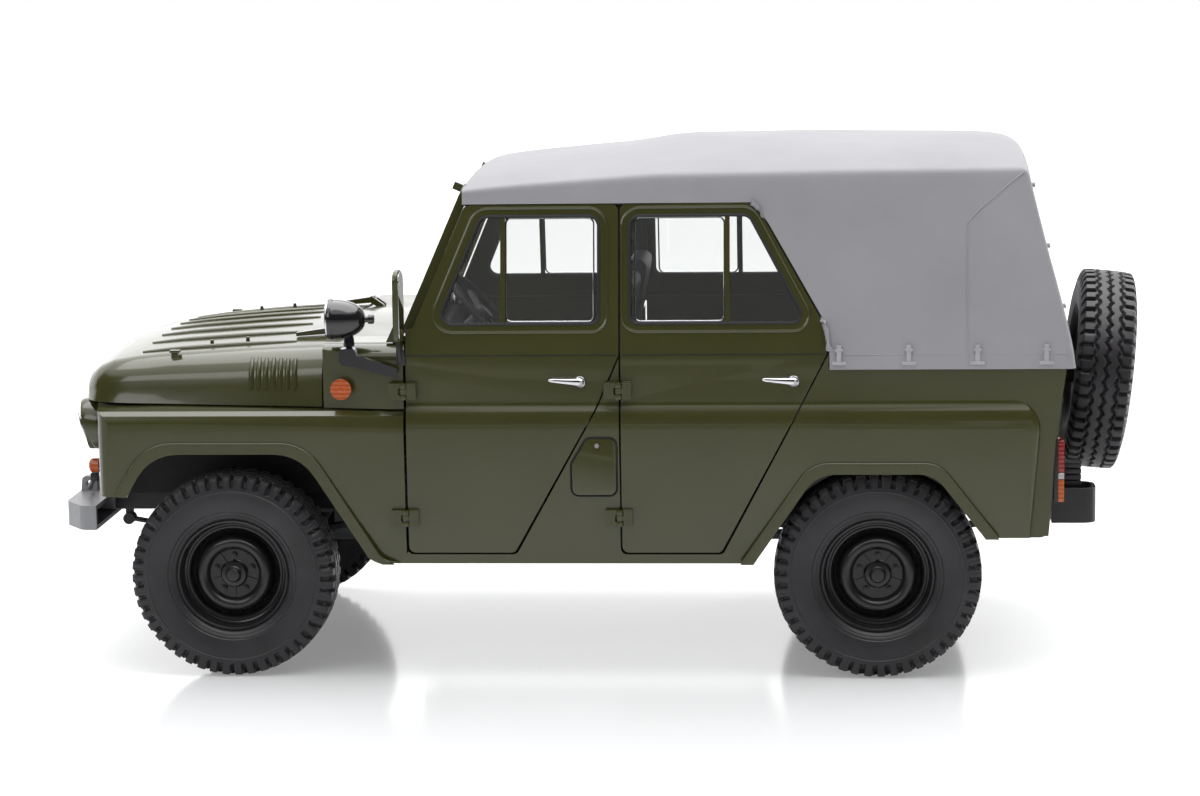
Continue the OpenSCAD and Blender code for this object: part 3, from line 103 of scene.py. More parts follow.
def noise(nodes, links, scale, detail=3.0, rough=0.5):
    n = nodes.new("ShaderNodeTexNoise")
    n.inputs["Scale"].default_value = scale
    n.inputs["Detail"].default_value = detail
    n.inputs["Roughness"].default_value = rough
    links.new(object_coords(nodes), n.inputs["Vector"])
    return n.outputs["Fac"]


def wave(nodes, links, axis, scale, distortion=0.0):
    w = nodes.new("ShaderNodeTexWave")
    w.bands_direction = axis
    w.inputs["Scale"].default_value = scale
    w.inputs["Distortion"].default_value = distortion
    links.new(object_coords(nodes), w.inputs["Vector"])
    return w.outputs["Fac"]


def ramp(nodes, links, source, stops):
    r = nodes.new("ShaderNodeValToRGB")
    links.new(source, r.inputs["Fac"])
    e = r.color_ramp.elements
    while len(e) < len(stops):
        e.new(0.5)
    for item, (position, colour) in zip(e, stops):
        item.position = position
        item.color = (*colour, 1)
    return r.outputs["Color"]


def relief(nodes, links, height, strength, depth, under=None):
    """A bump from a height, over the normal of another; depth in mm."""
    k = nodes.new("ShaderNodeBump")
    k.inputs["Strength"].default_value = strength
    k.inputs["Distance"].default_value = depth * MM
    links.new(height, k.inputs["Height"])
    if under is not None:
        links.new(under, k.inputs["Normal"])
    return k.outputs["Normal"]


def times(colour, factor):
    return tuple(min(1, c * factor) for c in colour)


def surface(name, colour, rough, metallic=0.0, vary=0.06, scale=60.0, bump=0.0, bump_scale=400.0,
            rough_vary=0.04, coat=0.0, coat_rough=0.05):
    """A finish with a small drift of colour and gloss and a fine bump."""
    m, nodes, links, b = new_material(name)
    stops = [(0.3, times(colour, 1 - vary)), (0.7, times(colour, 1 + vary))]
    links.new(ramp(nodes, links, noise(nodes, links, scale, 4), stops), b.inputs["Base Color"])
    span = nodes.new("ShaderNodeMapRange")
    span.inputs["To Min"].default_value = max(0.02, rough - rough_vary)
    span.inputs["To Max"].default_value = min(1, rough + rough_vary)
    links.new(noise(nodes, links, scale * 5, 2), span.inputs["Value"])
    links.new(span.outputs["Result"], b.inputs["Roughness"])
    b.inputs["Metallic"].default_value = metallic
    b.inputs["Coat Weight"].default_value = coat
    b.inputs["Coat Roughness"].default_value = coat_rough
    if bump > 0:
        grain = noise(nodes, links, bump_scale, 2)
        links.new(relief(nodes, links, grain, bump, 0.2), b.inputs["Normal"])
    return m


def rubber():
    """Tyre rubber, a little warmer where it is worn."""
    m, nodes, links, b = new_material("tyre_rubber")
    stops = [(0.3, (0.017, 0.015, 0.0172)), (0.75, (0.029, 0.0255, 0.0295))]
    links.new(ramp(nodes, links, noise(nodes, links, 70, 5), stops), b.inputs["Base Color"])
    b.inputs["Roughness"].default_value = 0.42
    b.inputs["Specular IOR Level"].default_value = 0.5
    b.inputs["Sheen Weight"].default_value = 0.12
    grain = noise(nodes, links, 1500, 2)
    links.new(relief(nodes, links, grain, 0.25, 0.1), b.inputs["Normal"])
    return m


def canvas():
    """Moulded canvas: a matt grey with a very fine weave and soft blotches."""
    m, nodes, links, b = new_material("moulded_canvas")
    stops = [(0.3, (0.295, 0.292, 0.312)), (0.72, (0.345, 0.342, 0.362))]
    links.new(ramp(nodes, links, noise(nodes, links, 18, 5, 0.55), stops), b.inputs["Base Color"])
    b.inputs["Roughness"].default_value = 0.5
    b.inputs["Specular IOR Level"].default_value = 0.4
    weave = nodes.new("ShaderNodeMath")
    weave.operation = "ADD"
    links.new(wave(nodes, links, "X", 520, 0.4), weave.inputs[0])
    links.new(wave(nodes, links, "Z", 520, 0.4), weave.inputs[1])
    fine = relief(nodes, links, weave.outputs["Value"], 0.12, 0.1)
    soft = relief(nodes, links, noise(nodes, links, 40, 4, 0.6), 0.25, 1.2, fine)
    links.new(soft, b.inputs["Normal"])
    return m


def clear(name, colour, rough=0.0):
    m, nodes, links, b = new_material(name)
    stops = [(0.2, times(colour, 0.985)), (0.8, colour)]
    links.new(ramp(nodes, links, noise(nodes, links, 30, 2), stops), b.inputs["Base Color"])
    b.inputs["Roughness"].default_value = rough
    b.inputs["IOR"].default_value = 1.45
    b.inputs["Transmission Weight"].default_value = 1.0
    return m


def lens(name, colour):
    """A coloured lens with fine prisms."""
    m, nodes, links, b = new_material(name)
    stops = [(0.3, times(colour, 0.85)), (0.7, colour)]
    links.new(ramp(nodes, links, noise(nodes, links, 120, 2), stops), b.inputs["Base Color"])
    b.inputs["Roughness"].default_value = 0.12
    b.inputs["Transmission Weight"].default_value = 0.35
    b.inputs["Coat Weight"].default_value = 0.6
    prisms = wave(nodes, links, "Z", 160)
    links.new(relief(nodes, links, prisms, 0.5, 0.3), b.inputs["Normal"])
    return m


GREEN = surface("green_enamel", (0.0500, 0.0510, 0.0140), 0.2, vary=0.05, scale=25, bump=0.05,
                bump_scale=260, rough_vary=0.03, coat=0.45, coat_rough=0.04)
# Painted shade: the tub, its floor and the wheel wells are made near-black for the shade they lie in under
# the body
UNDERBODY_SHADE = surface("underbody_painted_shade", (0.011, 0.011, 0.010), 0.6, vary=0.2, scale=60, bump=0.4)
BLACK = surface("black_plastic", (0.018, 0.017, 0.019), 0.38, vary=0.15, scale=90, bump=0.15,
                bump_scale=900)
BUMPER = surface("silver_grey", (0.30, 0.30, 0.315), 0.36, vary=0.1, scale=80, bump=0.2,
                 bump_scale=1100)
RIM = surface("rim_black", (0.013, 0.0125, 0.014), 0.3, vary=0.15, scale=90, bump=0.08,
              bump_scale=700, coat=0.15)
ENGINE = surface("engine_grey", (0.10, 0.11, 0.11), 0.5, vary=0.2, scale=70, bump=0.3, bump_scale=600)
SPRING = surface("spring_black", (0.022, 0.021, 0.022), 0.45, vary=0.25, scale=120, bump=0.2,
                 bump_scale=700)
TRIM = surface("inner_trim", (0.016, 0.016, 0.017), 0.55, vary=0.15, scale=120, bump=0.35,
               bump_scale=1600)
CHROME = surface("bright_plate", (0.78, 0.78, 0.80), 0.12, metallic=1.0, vary=0.03, scale=90)
STEEL = surface("dull_plate", (0.42, 0.42, 0.44), 0.3, metallic=1.0, vary=0.08, scale=150,
                rough_vary=0.08)
STAPLE = surface("pale_fitting", (0.42, 0.42, 0.44), 0.35, scale=90)
RUBBER_SEAL = surface("seal_rubber", (0.012, 0.012, 0.012), 0.6, vary=0.1, scale=200)
# Painted shade: a near-black finish that stands for the shade inside shut lines and grooves
GAP_SHADE = surface("painted_gap_shade", (0.006, 0.006, 0.006), 0.8, vary=0.1, scale=100)
GLOSS_BLACK = surface("gloss_black", (0.010, 0.010, 0.0115), 0.16, vary=0.2, scale=80, bump=0.05,
                      coat=0.7)
MIRROR = surface("mirror_face", (0.85, 0.86, 0.87), 0.04, metallic=1.0, vary=0.01, rough_vary=0.01)
TYRE = rubber()
CANVAS = canvas()
GLASS = clear("window_glass", (0.97, 0.98, 0.975))
LAMP_GLASS = clear("lamp_glass", (0.95, 0.97, 0.98), 0.02)
ORANGE = lens("orange_lens", (0.72, 0.13, 0.012))
RED = lens("red_lens", (0.42, 0.012, 0.010))
CLEAR_LENS = lens("clear_lens", (0.75, 0.72, 0.70))

# ---------------------------------------------------------------- mesh helpers

WELD = 2e-6  # metres: vertices nearer than this are one
BOX_FACES = ((0, 1, 3, 2), (4, 6, 7, 5), (0, 4, 5, 1), (2, 3, 7, 6), (0, 2, 6, 4), (1, 5, 7, 3))


def shade(obj, angle):
    """Smooth shading, with edges sharper than angle degrees kept."""
    for p in obj.data.polygons:
        p.use_smooth = True
    obj.data.set_sharp_from_angle(angle=math.radians(angle))


def add(name, mesh, material, body, angle=35):
    """A piece of the visual model that moves with a body."""
    obj = bpy.data.objects.new(name, mesh)
    scene.collection.objects.link(obj)
    mesh.materials.clear()
    mesh.materials.append(material)
    shade(obj, angle)
    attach(obj, body)
    return obj


def from_bm(bm, name):
    mesh = bpy.data.meshes.new(name)
    bm.to_mesh(mesh)
    bm.free()
    return mesh


def bevelled(bm, width, segments=2, angle=32):
    """Rounds the edges sharper than angle degrees; width in mm."""
    sharp = math.radians(angle)
    edges = [e for e in bm.edges if len(e.link_faces) == 2 and e.calc_face_angle(0) > sharp]
    bmesh.ops.bevel(bm, geom=edges, offset=width * MM, offset_type="OFFSET", segments=segments,
                    profile=0.6, affect="EDGES", clamp_overlap=True, miter_outer="ARC")
    return bm


def soft_node(node, material, width, segments=2, angle=28, dissolve=1.0):
    """A CAD panel again with rounded edges: it stands for the node."""
    bm = bmesh.new()
    bm.from_mesh(NODES[node].data)
    bmesh.ops.remove_doubles(bm, verts=bm.verts, dist=WELD)
    bmesh.ops.dissolve_limit(bm, angle_limit=math.radians(dissolve), verts=bm.verts, edges=bm.edges)
    bevelled(bm, width, segments, angle)
    name = node + "_finished"
    obj = add(name, from_bm(bm, name), material, BODY_OF[node], angle=40)
    flat = obj.modifiers.new("flat_faces", "WEIGHTED_NORMAL")
    flat.keep_sharp = True
    flat.weight = 80
    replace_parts(obj, node)
    return obj


def finish_node(node, material):
    """A material on a CAD node that shows as it is."""
    mesh = NODES[node].data
    mesh.materials.clear()
    mesh.materials.append(material)


def revolve(profile, segments, axis="Y"):
    """A mesh turned about an axis through the origin; profile is [(radius, along)] in mm."""
    bm = bmesh.new()
    rings = []
    for a in circle(segments):
        ring = []
        for r, t in profile:
            u, v = r * math.cos(a) * MM, r * math.sin(a) * MM
            p = {"Y": (u, t * MM, v), "X": (t * MM, u, v), "Z": (u, v, t * MM)}[axis]
            ring.append(bm.verts.new(p))
        rings.append(ring)
    for i in range(segments):
        a, b = rings[i], rings[(i + 1) % segments]
        for j in range(len(profile) - 1):
            bm.faces.new((a[j], a[j + 1], b[j + 1], b[j]))
    bmesh.ops.remove_doubles(bm, verts=bm.verts, dist=1e-7)
    bmesh.ops.recalc_face_normals(bm, faces=bm.faces)
    return bm


def prism(bm, points, origin, u, v, w, depth):
    """A straight prism on the plane u, v from origin, depth mm along w; points in mm."""
    base = [bm.verts.new(origin + u * a * MM + v * b * MM) for a, b in points]
    top = [bm.verts.new(q.co + w * depth * MM) for q in base]
    n = len(base)
    faces = [bm.faces.new(base[::-1]), bm.faces.new(top)]
    for i in range(n):
        faces.append(bm.faces.new((base[i], base[(i + 1) % n], top[(i + 1) % n], top[i])))
    bmesh.ops.recalc_face_normals(bm, faces=faces)


def box_bm(bm, lo, hi):
    """A box between two corners in mm, to be bevelled."""
    (x0, y0, z0), (x1, y1, z1) = lo, hi
    v = [bm.verts.new(P(x, y, z)) for x in (x0, x1) for y in (y0, y1) for z in (z0, z1)]
    faces = [bm.faces.new([v[i] for i in f]) for f in BOX_FACES]
    bmesh.ops.recalc_face_normals(bm, faces=faces)


def tube(bm, path, radius, sides=8, closed=False, squash=1):
    """A round bar along a path of points in the frame; radius in mm or one for each point."""
    n = len(path)
    radii = radius if isinstance(radius, list) else [radius] * n
    rings = []
    for i, p in enumerate(path):
        a = path[(i - 1) % n] if closed or i > 0 else p
        b = path[(i + 1) % n] if closed or i < n - 1 else p
        t = (b - a).normalized()
        u = t.cross(OUTWARD if abs(t.y) < 0.9 else ASTERN).normalized()
        v = t.cross(u).normalized()
        r = radii[i] * MM
        rings.append([bm.verts.new(p + u * math.cos(g) * r + v * math.sin(g) * r * squash)
                      for g in circle(sides)])
    for i in range(n if closed else n - 1):
        a, b = rings[i], rings[(i + 1) % n]
        for k in range(sides):
            bm.faces.new((a[k], a[(k + 1) % sides], b[(k + 1) % sides], b[k]))
    if not closed:
        bm.faces.new(rings[0][::-1])
        bm.faces.new(rings[-1])
    bmesh.ops.recalc_face_normals(bm, faces=bm.faces)


def rounded(points, steps):
    """An outline of (x, z, radius) points, each corner rounded by its own radius."""
    out = []
    n = len(points)
    for i, (x, z, r) in enumerate(points):
        p = Vector((x, z))
        if r <= 0:
            out.append((x, z))
            continue
        u = (Vector(points[i - 1][:2]) - p).normalized()
        v = (Vector(points[(i + 1) % n][:2]) - p).normalized()
        half = math.acos(max(-1, min(1, u.dot(v)))) / 2
        centre = p + (u + v).normalized() * r / math.sin(half)
        a = p + u * r / math.tan(half) - centre
        b = p + v * r / math.tan(half) - centre
        turn = math.atan2(a.x * b.y - a.y * b.x, a.dot(b))
        for k in range(steps + 1):
            g = turn * k / steps
            c, s = math.cos(g), math.sin(g)
            out.append((centre.x + a.x * c - a.y * s, centre.y + a.x * s + a.y * c))
    return out


TREES = {}


def tree(node):
    """The surface of a CAD node, for rays; made once."""
    if node not in TREES:
        mesh = NODES[node].data
        points, faces = [v.co for v in mesh.vertices], [p.vertices for p in mesh.polygons]
        TREES[node] = BVHTree.FromPolygons(points, faces)
    return TREES[node]


def top_of(node, x, y):
    """Height in mm of the node's top at x, y."""
    hit = tree(node).ray_cast(P(x, y, 400), -UPWARD)[0]
    return hit.z / MM


def side_of(node, x, z, side):
    """Distance in mm of the node's outer side from the middle plane at x, z."""
    hit = tree(node).ray_cast(P(x, side * 200, z), OUTWARD * -side)[0]
    return abs(hit.y) / MM


def curve(points):
    """A function through (x, value) points, straight from each to the next."""
    def at(x):
        if x <= points[0][0]:
            return points[0][1]
        for (xa, va), (xb, vb) in zip(points, points[1:]):
            if x <= xb:
                return va + (vb - va) * (x - xa) / (xb - xa)
        return points[-1][1]
    return at


def applied(obj):
    """Gives the object the mesh that its modifiers make, without the modifiers."""
    depsgraph = bpy.context.evaluated_depsgraph_get()
    mesh = bpy.data.meshes.new_from_object(obj.evaluated_get(depsgraph))
    old = obj.data
    obj.modifiers.clear()
    obj.data = mesh
    bpy.data.meshes.remove(old)
    return mesh


def frame_y(z):
    """Outer face of the window frames at height z."""
    return BELT_HALF_W + (RAIL_HALF_W - BELT_HALF_W) * (z - BELT_Z) / (RAIL_Z - BELT_Z)


# ---------------------------------------------------------------- camera, studio

CAMERA_AT = P(280.14, -1540.15, 345.96)
YAW = math.radians(-4.3094)
PITCH = math.radians(-8.5094)
ROLL = math.radians(0.82)
FOCAL = 2.672583  # focal length over the picture's width
FILL = 0.42       # light from all round on matt surfaces
BACKDROP = 1.9    # what gloss sees behind the car
GLOW_NEAR, GLOW_FAR = 0.22, 0.8  # how far the table whitens towards its horizon


def camera():
    data = bpy.data.cameras.new("camera")
    data.sensor_width = 36
    data.lens = FOCAL * data.sensor_width
    data.clip_start = 0.01
    data.clip_end = 50
    cam = bpy.data.objects.new("camera", data)
    scene.collection.objects.link(cam)
    look = Vector((math.sin(YAW) * math.cos(PITCH), math.cos(YAW) * math.cos(PITCH), math.sin(PITCH)))
    level = Vector((math.cos(YAW), -math.sin(YAW), 0))
    roll = Matrix.Rotation(ROLL, 3, look)
    right, up = roll @ level, roll @ level.cross(look)
    cam.matrix_world = Matrix((
        (right.x, up.x, -look.x, CAMERA_AT.x), (right.y, up.y, -look.y, CAMERA_AT.y),
        (right.z, up.z, -look.z, CAMERA_AT.z), (0, 0, 0, 1)))
    scene.camera = cam


def area(name, at, aim, size, power):
    data = bpy.data.lights.new(name, "AREA")
    data.shape = "RECTANGLE"
    data.size, data.size_y = size
    data.energy = power
    obj = bpy.data.objects.new(name, data)
    scene.collection.objects.link(obj)
    obj.location = at
    obj.rotation_euler = (Vector(aim) - Vector(at)).to_track_quat("-Z", "Y").to_euler()


def grey(level):
    return (level, level, level)


def math_node(nodes, links, operation, first, second):
    n = nodes.new("ShaderNodeMath")
    n.operation = operation
    links.new(first, n.inputs[0])
    links.new(second, n.inputs[1])
    return n.outputs["Value"]


def background(nodes, level, strength):
    n = nodes.new("ShaderNodeBackground")
    n.inputs["Color"].default_value = (*grey(level), 1)
    n.inputs["Strength"].default_value = strength
    return n


def mixed(nodes, links, factor, first, second):
    n = nodes.new("ShaderNodeMixShader")
    links.new(factor, n.inputs["Fac"])
    links.new(first, n.inputs[1])
    links.new(second, n.inputs[2])
    return n.outputs[0]


def studio():
    """White for the camera, an even fill for matt surfaces, and a room for gloss.

    Gloss sees a white backdrop behind the car, darkness in front and a soft box above.
    """
    world = bpy.data.worlds.new("studio")
    scene.world = world
    world.use_nodes = True
    nodes, links = world.node_tree.nodes, world.node_tree.links
    nodes.clear()
    ray = nodes.new("ShaderNodeLightPath").outputs
    toward = nodes.new("ShaderNodeSeparateXYZ")
    links.new(nodes.new("ShaderNodeTexCoord").outputs["Generated"], toward.inputs[0])
    behind = ramp(nodes, links, toward.outputs["Y"], [(0.10, grey(0.0)), (0.30, grey(BACKDROP))])
    above = ramp(nodes, links, toward.outputs["Z"], [
        (0.0, grey(0.9)), (0.02, (0.03, 0.03, 0.032)), (0.55, (0.05, 0.05, 0.055)), (0.68, grey(1.6)),
        (1.0, grey(2.2))])
    room = background(nodes, 0.8, 1)
    links.new(math_node(nodes, links, "MAXIMUM", behind, above), room.inputs["Strength"])
    fill = background(nodes, 1, FILL)
    white = background(nodes, 1, 1)
    unseen = mixed(nodes, links, ray["Is Glossy Ray"], fill.outputs[0], room.outputs[0])
    direct = math_node(nodes, links, "MAXIMUM", ray["Is Camera Ray"], ray["Is Transmission Ray"])
    shown = mixed(nodes, links, direct, unseen, white.outputs[0])
    links.new(shown, nodes.new("ShaderNodeOutputWorld").inputs["Surface"])


def table():
    """A glossy white table, which glows for the camera so that it reads as white."""
    bm = bmesh.new()
    bmesh.ops.create_grid(bm, x_segments=1, y_segments=1, size=6)
    floor = bpy.data.objects.new("floor", from_bm(bm, "floor"))
    scene.collection.objects.link(floor)
    floor.location = (0, 0, -0.2 * MM)
    m, nodes, links, b = new_material("white_table")
    b.inputs["Base Color"].default_value = (0.86, 0.87, 0.88, 1)
    b.inputs["Roughness"].default_value = 0.12
    b.inputs["Specular IOR Level"].default_value = 0.55
    whiter = nodes.new("ShaderNodeMapRange")
    whiter.inputs["From Min"].default_value = 0.6
    whiter.inputs["From Max"].default_value = 2.6
    whiter.inputs["To Min"].default_value = GLOW_NEAR
    whiter.inputs["To Max"].default_value = GLOW_FAR
    far = nodes.new("ShaderNodeVectorMath")
    far.operation = "LENGTH"
    links.new(object_coords(nodes), far.inputs[0])
    links.new(far.outputs["Value"], whiter.inputs["Value"])
    seen = nodes.new("ShaderNodeLightPath").outputs["Is Camera Ray"]
    glow = math_node(nodes, links, "MULTIPLY", seen, whiter.outputs["Result"])
    b.inputs["Emission Color"].default_value = (1, 1, 1, 1)
    links.new(glow, b.inputs["Emission Strength"])
    floor.data.materials.append(m)


camera()
area("overhead", (0.05, 0.1, 1.25), (0, 0, 0.1), (1.9, 1.5), 24)
area("front_fill", (-0.9, -1.3, 0.9), (-0.05, 0, 0.1), (0.7, 0.5), 3)
area("rear_fill", (1.0, 1.1, 0.8), (0.05, 0, 0.1), (0.7, 0.5), 3)
studio()
table()
scene.view_settings.view_transform = "Standard"

# ---------------------------------------------------------------- panels

for node in ("left_wing", "right_wing", "left_body_side", "right_body_side", "left_front_door",
             "right_front_door", "left_rear_door", "right_rear_door", "cowl", "windscreen_frame",
             "front_panel", "rear_panel", "tailgate"):
    soft_node(node, GREEN, 0.45)
for node in ("door_hinges", "spare_carrier", "bonnet_straps"):
    soft_node(node, GREEN, 0.2)
soft_node("bonnet", GREEN, 0.4, angle=50, dissolve=0.2)
# Painted shade: the tub is near-black where it lies in shadow under the body
soft_node("body_tub", UNDERBODY_SHADE, 0.3)
soft_node("front_bumper", BUMPER, 0.5, segments=3)
soft_node("rear_bumpers", BLACK, 0.6, segments=3)
for node in ("chassis_frame", "tow_hitch", "front_axle", "rear_axle", "left_knuckle", "right_knuckle",
             "fuel_tanks"):
    soft_node(node, BLACK, 0.4)
soft_node("lamp_arm", GLOSS_BLACK, 0.9, segments=3)
soft_node("leaf_springs", SPRING, 0.15)
soft_node("powertrain", ENGINE, 0.8)
for node in ("dashboard", "steering_column", "steering_wheel"):
    soft_node(node, TRIM, 0.6)
for node in ("front_seats", "rear_bench"):
    soft_node(node, TRIM, 2.2, segments=4)
for node in NODES:
    if node.endswith("glass"):
        finish_node(node, GLASS)

# ---------------------------------------------------------------- wheels

LUGS = 48          # shoulder blocks round a tyre
PER_LUG = 8        # steps round each
STUDS = 5
TYRE_R = 47.5
TREAD_HALF = 11.2
TREAD_R = 46.5     # where the face of the tread begins
LUG_FOOT_R = 41.0  # where the shoulder blocks begin on the side
LUG_GROOVE = 2.5
RIB_GROOVE = 1.7
RIB_GROOVES_AT = (-5.6, 0.0, 5.6)


def tyre_line():
    """Outer half-section of a tyre from one bead to the other as (radius, along)."""
    side = [
        (25.2, 9.6), (26.4, 10.6), (27.2, 11.5), (27.9, 11.9), (28.2, 11.75), (28.6, 12.15), (29.6, 12.5),
        (29.9, 12.35), (30.3, 12.75), (31.6, 13.0), (33.5, 13.25), (35.5, 13.4), (37.5, 13.45),
        (39.0, 13.35), (39.3, 13.55), (39.7, 13.55), (40.0, 13.3), (41.0, 13.15), (41.6, 13.1),
        (42.2, 13.0), (43.0, 12.85), (43.9, 12.65), (44.8, 12.4), (45.6, 12.1), (46.3, 11.7), (46.8, 11.2)]
    count = 34
    tread = []
    for i in range(count + 1):
        y = TREAD_HALF - 2 * TREAD_HALF * i / count
        tread.append((TYRE_R - 0.55 * (y / TREAD_HALF) ** 4, y))
    return side + tread + [(r, -y) for r, y in reversed(side)]


def step(value, start, end):
    """Rises smoothly from 0 at start to 1 at end."""
    t = max(0.0, min(1.0, (value - start) / (end - start)))
    return t * t * (3 - 2 * t)


def tread_depth(turn, radius, along):
    """Depth of the moulded pattern in mm; turn counts lugs round the tyre."""
    phase = (turn + (0 if along > 0 else 0.5)) % 1.0
    wide = 0.42 + 0.05 * math.sin(turn * 2.4)
    gap = step(phase, 0.0, 0.13) * (1 - step(phase, wide - 0.1, wide + 0.03))
    shoulder = step(abs(along), 6.6, 7.3) if radius > TREAD_R else 1.0
    reach = step(radius, LUG_FOOT_R, LUG_FOOT_R + 1.4)
    deep = LUG_GROOVE * gap * shoulder * reach
    if LUG_FOOT_R + 0.2 < radius < TREAD_R + 0.4:
        deep += 0.24 * reach * (1 - gap) * step(abs(math.sin(turn * 3 * math.pi)), 0.9, 0.5)
    if radius > TREAD_R:
        zigzag = 0.95 * (abs((turn % 1.0) * 4 - 2) - 1)
        for centre in RIB_GROOVES_AT:
            off = abs(along - centre - zigzag * (0.8 if centre else 1))
            deep = max(deep, RIB_GROOVE * (1 - step(off, 0.35, 0.85)))
    return deep


def tyre_mesh():
    """A whole tyre round the Y axis, each lug cut by its depth inwards or sideways."""
    line = tyre_line()
    inner = [(24.6, -9.3), (24.6, 9.3)]
    steps = LUGS * PER_LUG
    verts, faces = [], []
    for i, a in enumerate(circle(steps)):
        turn = i / PER_LUG
        for r, y in line:
            d = tread_depth(turn, r, y) if r > LUG_FOOT_R else 0.0
            slant = step(r, 44.0, 47.0)
            cut_r = r - d * slant
            cut_y = y - math.copysign(d * 0.8 * (1 - slant), y)
            verts.append((cut_r * math.cos(a) * MM, cut_y * MM, cut_r * math.sin(a) * MM))
        for r, y in inner:
            verts.append((r * math.cos(a) * MM, y * MM, r * math.sin(a) * MM))
    n = len(line) + len(inner)
    for i in range(steps):
        a, b = i * n, (i + 1) % steps * n
        for j in range(n):
            k = (j + 1) % n
            faces.append((a + j, b + j, b + k, a + k))
    mesh = bpy.data.meshes.new("tyre")
    mesh.from_pydata(verts, [], faces)
    bm = bmesh.new()
    bm.from_mesh(mesh)
    bmesh.ops.recalc_face_normals(bm, faces=bm.faces)
    bm.to_mesh(mesh)
    bm.free()
    return mesh


RIM_LINE = [
    (0, 8.8), (3.1, 8.8), (3.1, 3), (11.4, 3), (13.4, 5.6), (17.0, 5.2), (19.6, -1), (21.8, -3),
    (22.2, -9.6), (24.5, -9.6), (24.5, 7.5), (25.3, 9.9), (25.9, 10.4), (26.0, 10.9), (25.6, 11.3),
    (24.9, 11.2), (24.4, 10.6), (24.1, 9.4), (23.9, 6.8), (23.4, 5.6), (22.7, 5.3), (22.2, 5.6),
    (21.5, 5.5), (20.9, 4.9), (20.5, 3.2), (20.2, 1.2), (19.4, 0.4), (18.7, 0.9), (18.2, 2.6),
    (17.7, 5.2), (17.0, 7.2), (16.2, 8.2), (15.2, 8.6), (14.0, 8.6), (13.0, 8.1), (12.2, 7.2),
    (11.7, 6.0), (11.3, 5.6), (6.6, 5.6), (6.2, 5.9), (5.9, 7.4), (5.5, 8.0), (3.9, 8.3), (3.5, 8.7),
    (3.3, 10.2), (2.8, 10.8), (0, 11.0)]
STUD_CIRCLE_R = 8.7
WASHER, NUT, STUD = (24, 1.75, 5.5, 5.9), (6, 1.45, 5.8, 7.5), (16, 0.7, 7.4, 8.2)


def wheel_nut(bm, a):
    """A washer, nut and stud end, each as (sides, radius, from, to), at angle a."""
    centre = Vector((math.cos(a) * STUD_CIRCLE_R * MM, 0, math.sin(a) * STUD_CIRCLE_R * MM))
    for sides, radius, low_y, high_y in (WASHER, NUT, STUD):
        outline = [(radius * math.cos(g), radius * math.sin(g)) for g in circle(sides)]
        prism(bm, outline, centre + OUTWARD * low_y * MM, ASTERN, UPWARD, OUTWARD, high_y - low_y)


def rim_mesh():
    bm = revolve(RIM_LINE, 96)
    for a, b in zip(circle(STUDS, 0.25), circle(STUDS, 0.75)):
        wheel_nut(bm, a)
        along, across = Vector((math.cos(b), 0, math.sin(b))), Vector((-math.sin(b), 0, math.cos(b)))
        rib = [(6.2, -0.5), (10.9, -0.5), (10.9, 0.5), (6.2, 0.5)]
        prism(bm, rib, OUTWARD * 5.4 * MM, along, across, OUTWARD, 0.9)
    return from_bm(bm, "rim")


def wheel_turn(side):
    """Turns a wheel modelled with its outer face to +Y."""
    return Matrix.Rotation(math.pi if side == LEFT else 0, 4, "Z")


SPARE_LEAN = math.radians(6)
low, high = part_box("spare_tyre")
spare_place = (Matrix.Translation((low + high) / 2) @ Matrix.Rotation(SPARE_LEAN, 4, "Y")
               @ Matrix.Rotation(math.radians(90), 4, "Z"))
tyre, rim = tyre_mesh(), rim_mesh()
places = {"spare": (spare_place, spare_place @ Matrix.Rotation(math.pi, 4, "Z"))}
for side, word in SIDES:
    for x, end in ((0, "front"), (WHEELBASE, "rear")):
        hub = P(x, side * TRACK_HALF, AXLE_Z / MM)
        place = Matrix.Translation(hub) @ wheel_turn(side)
        places[f"{word}_{end}"] = (place, place)
for name, (tyre_place, rim_place) in places.items():
    for kind, mesh, place, material in (("tyre", tyre, tyre_place, TYRE), ("rim", rim, rim_place, RIM)):
        node = f"{name}_{kind}"
        copy = mesh.copy()
        copy.transform(place)
        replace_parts(add(node + "_moulded", copy, material, BODY_OF[node], angle=30), node)

# ---------------------------------------------------------------- soft top

SKIRT_Z = 143.4
EDGE_GAP = 0.35
SEAM_X = 337.7
SEAM_BEND_Z = 208.2
TOP_FRONT_X = 109.5
TOP_BACK_X = 364.8
FAN_X = 290  # behind this the side wall spreads to meet the leaning back
SLANT_X = DOOR_BACK_X - DOOR_SLANT + EDGE_GAP * 2
SLANT_FOOT_X = DOOR_BACK_X + 0.6
BACK_BULGE = 2.5
CLEAR_OF_FRAMES = 0.3
STAPLES_X = (280.2, 311.5, 342.3, 373.0)
crown_z = curve([(TOP_FRONT_X, 229.2), (112, 231.2), (119.5, 233.2), (150, 236.2), (186, 239.5), (198, 241.8),
                 (210, 243.1), (260, 243.3), (330, 242.5), (356, 241.6), (363, 239.2), (366, 236.6)])
crease_z = curve([(TOP_FRONT_X, 224.6), (126, 226.2), (195, 231.0), (366, 232.6)])
back_x = curve([(143, 386.2), (152, 385.0), (174, 379.6), (203, 371.8), (228, 365.9), (237, 364.0)])


def top_foot(x):
    """Lower edge of the top: along the doors, down the slant, then at the skirt."""
    rail = RAIL_Z + EDGE_GAP
    if x <= SLANT_X:
        return rail
    if x <= SLANT_FOOT_X:
        return rail - (x - SLANT_X) * (rail - NOTCH_Z) / (SLANT_FOOT_X - SLANT_X)
    return SKIRT_Z


def top_point(x, side, z):
    """A point on the top's side wall; the wall's rear part follows the leaning back."""
    if x > FAN_X:
        x = FAN_X + (x - FAN_X) * (back_x(z) - FAN_X) / (TOP_BACK_X - FAN_X)
    return P(x, side * (frame_y(z) + CLEAR_OF_FRAMES), z)


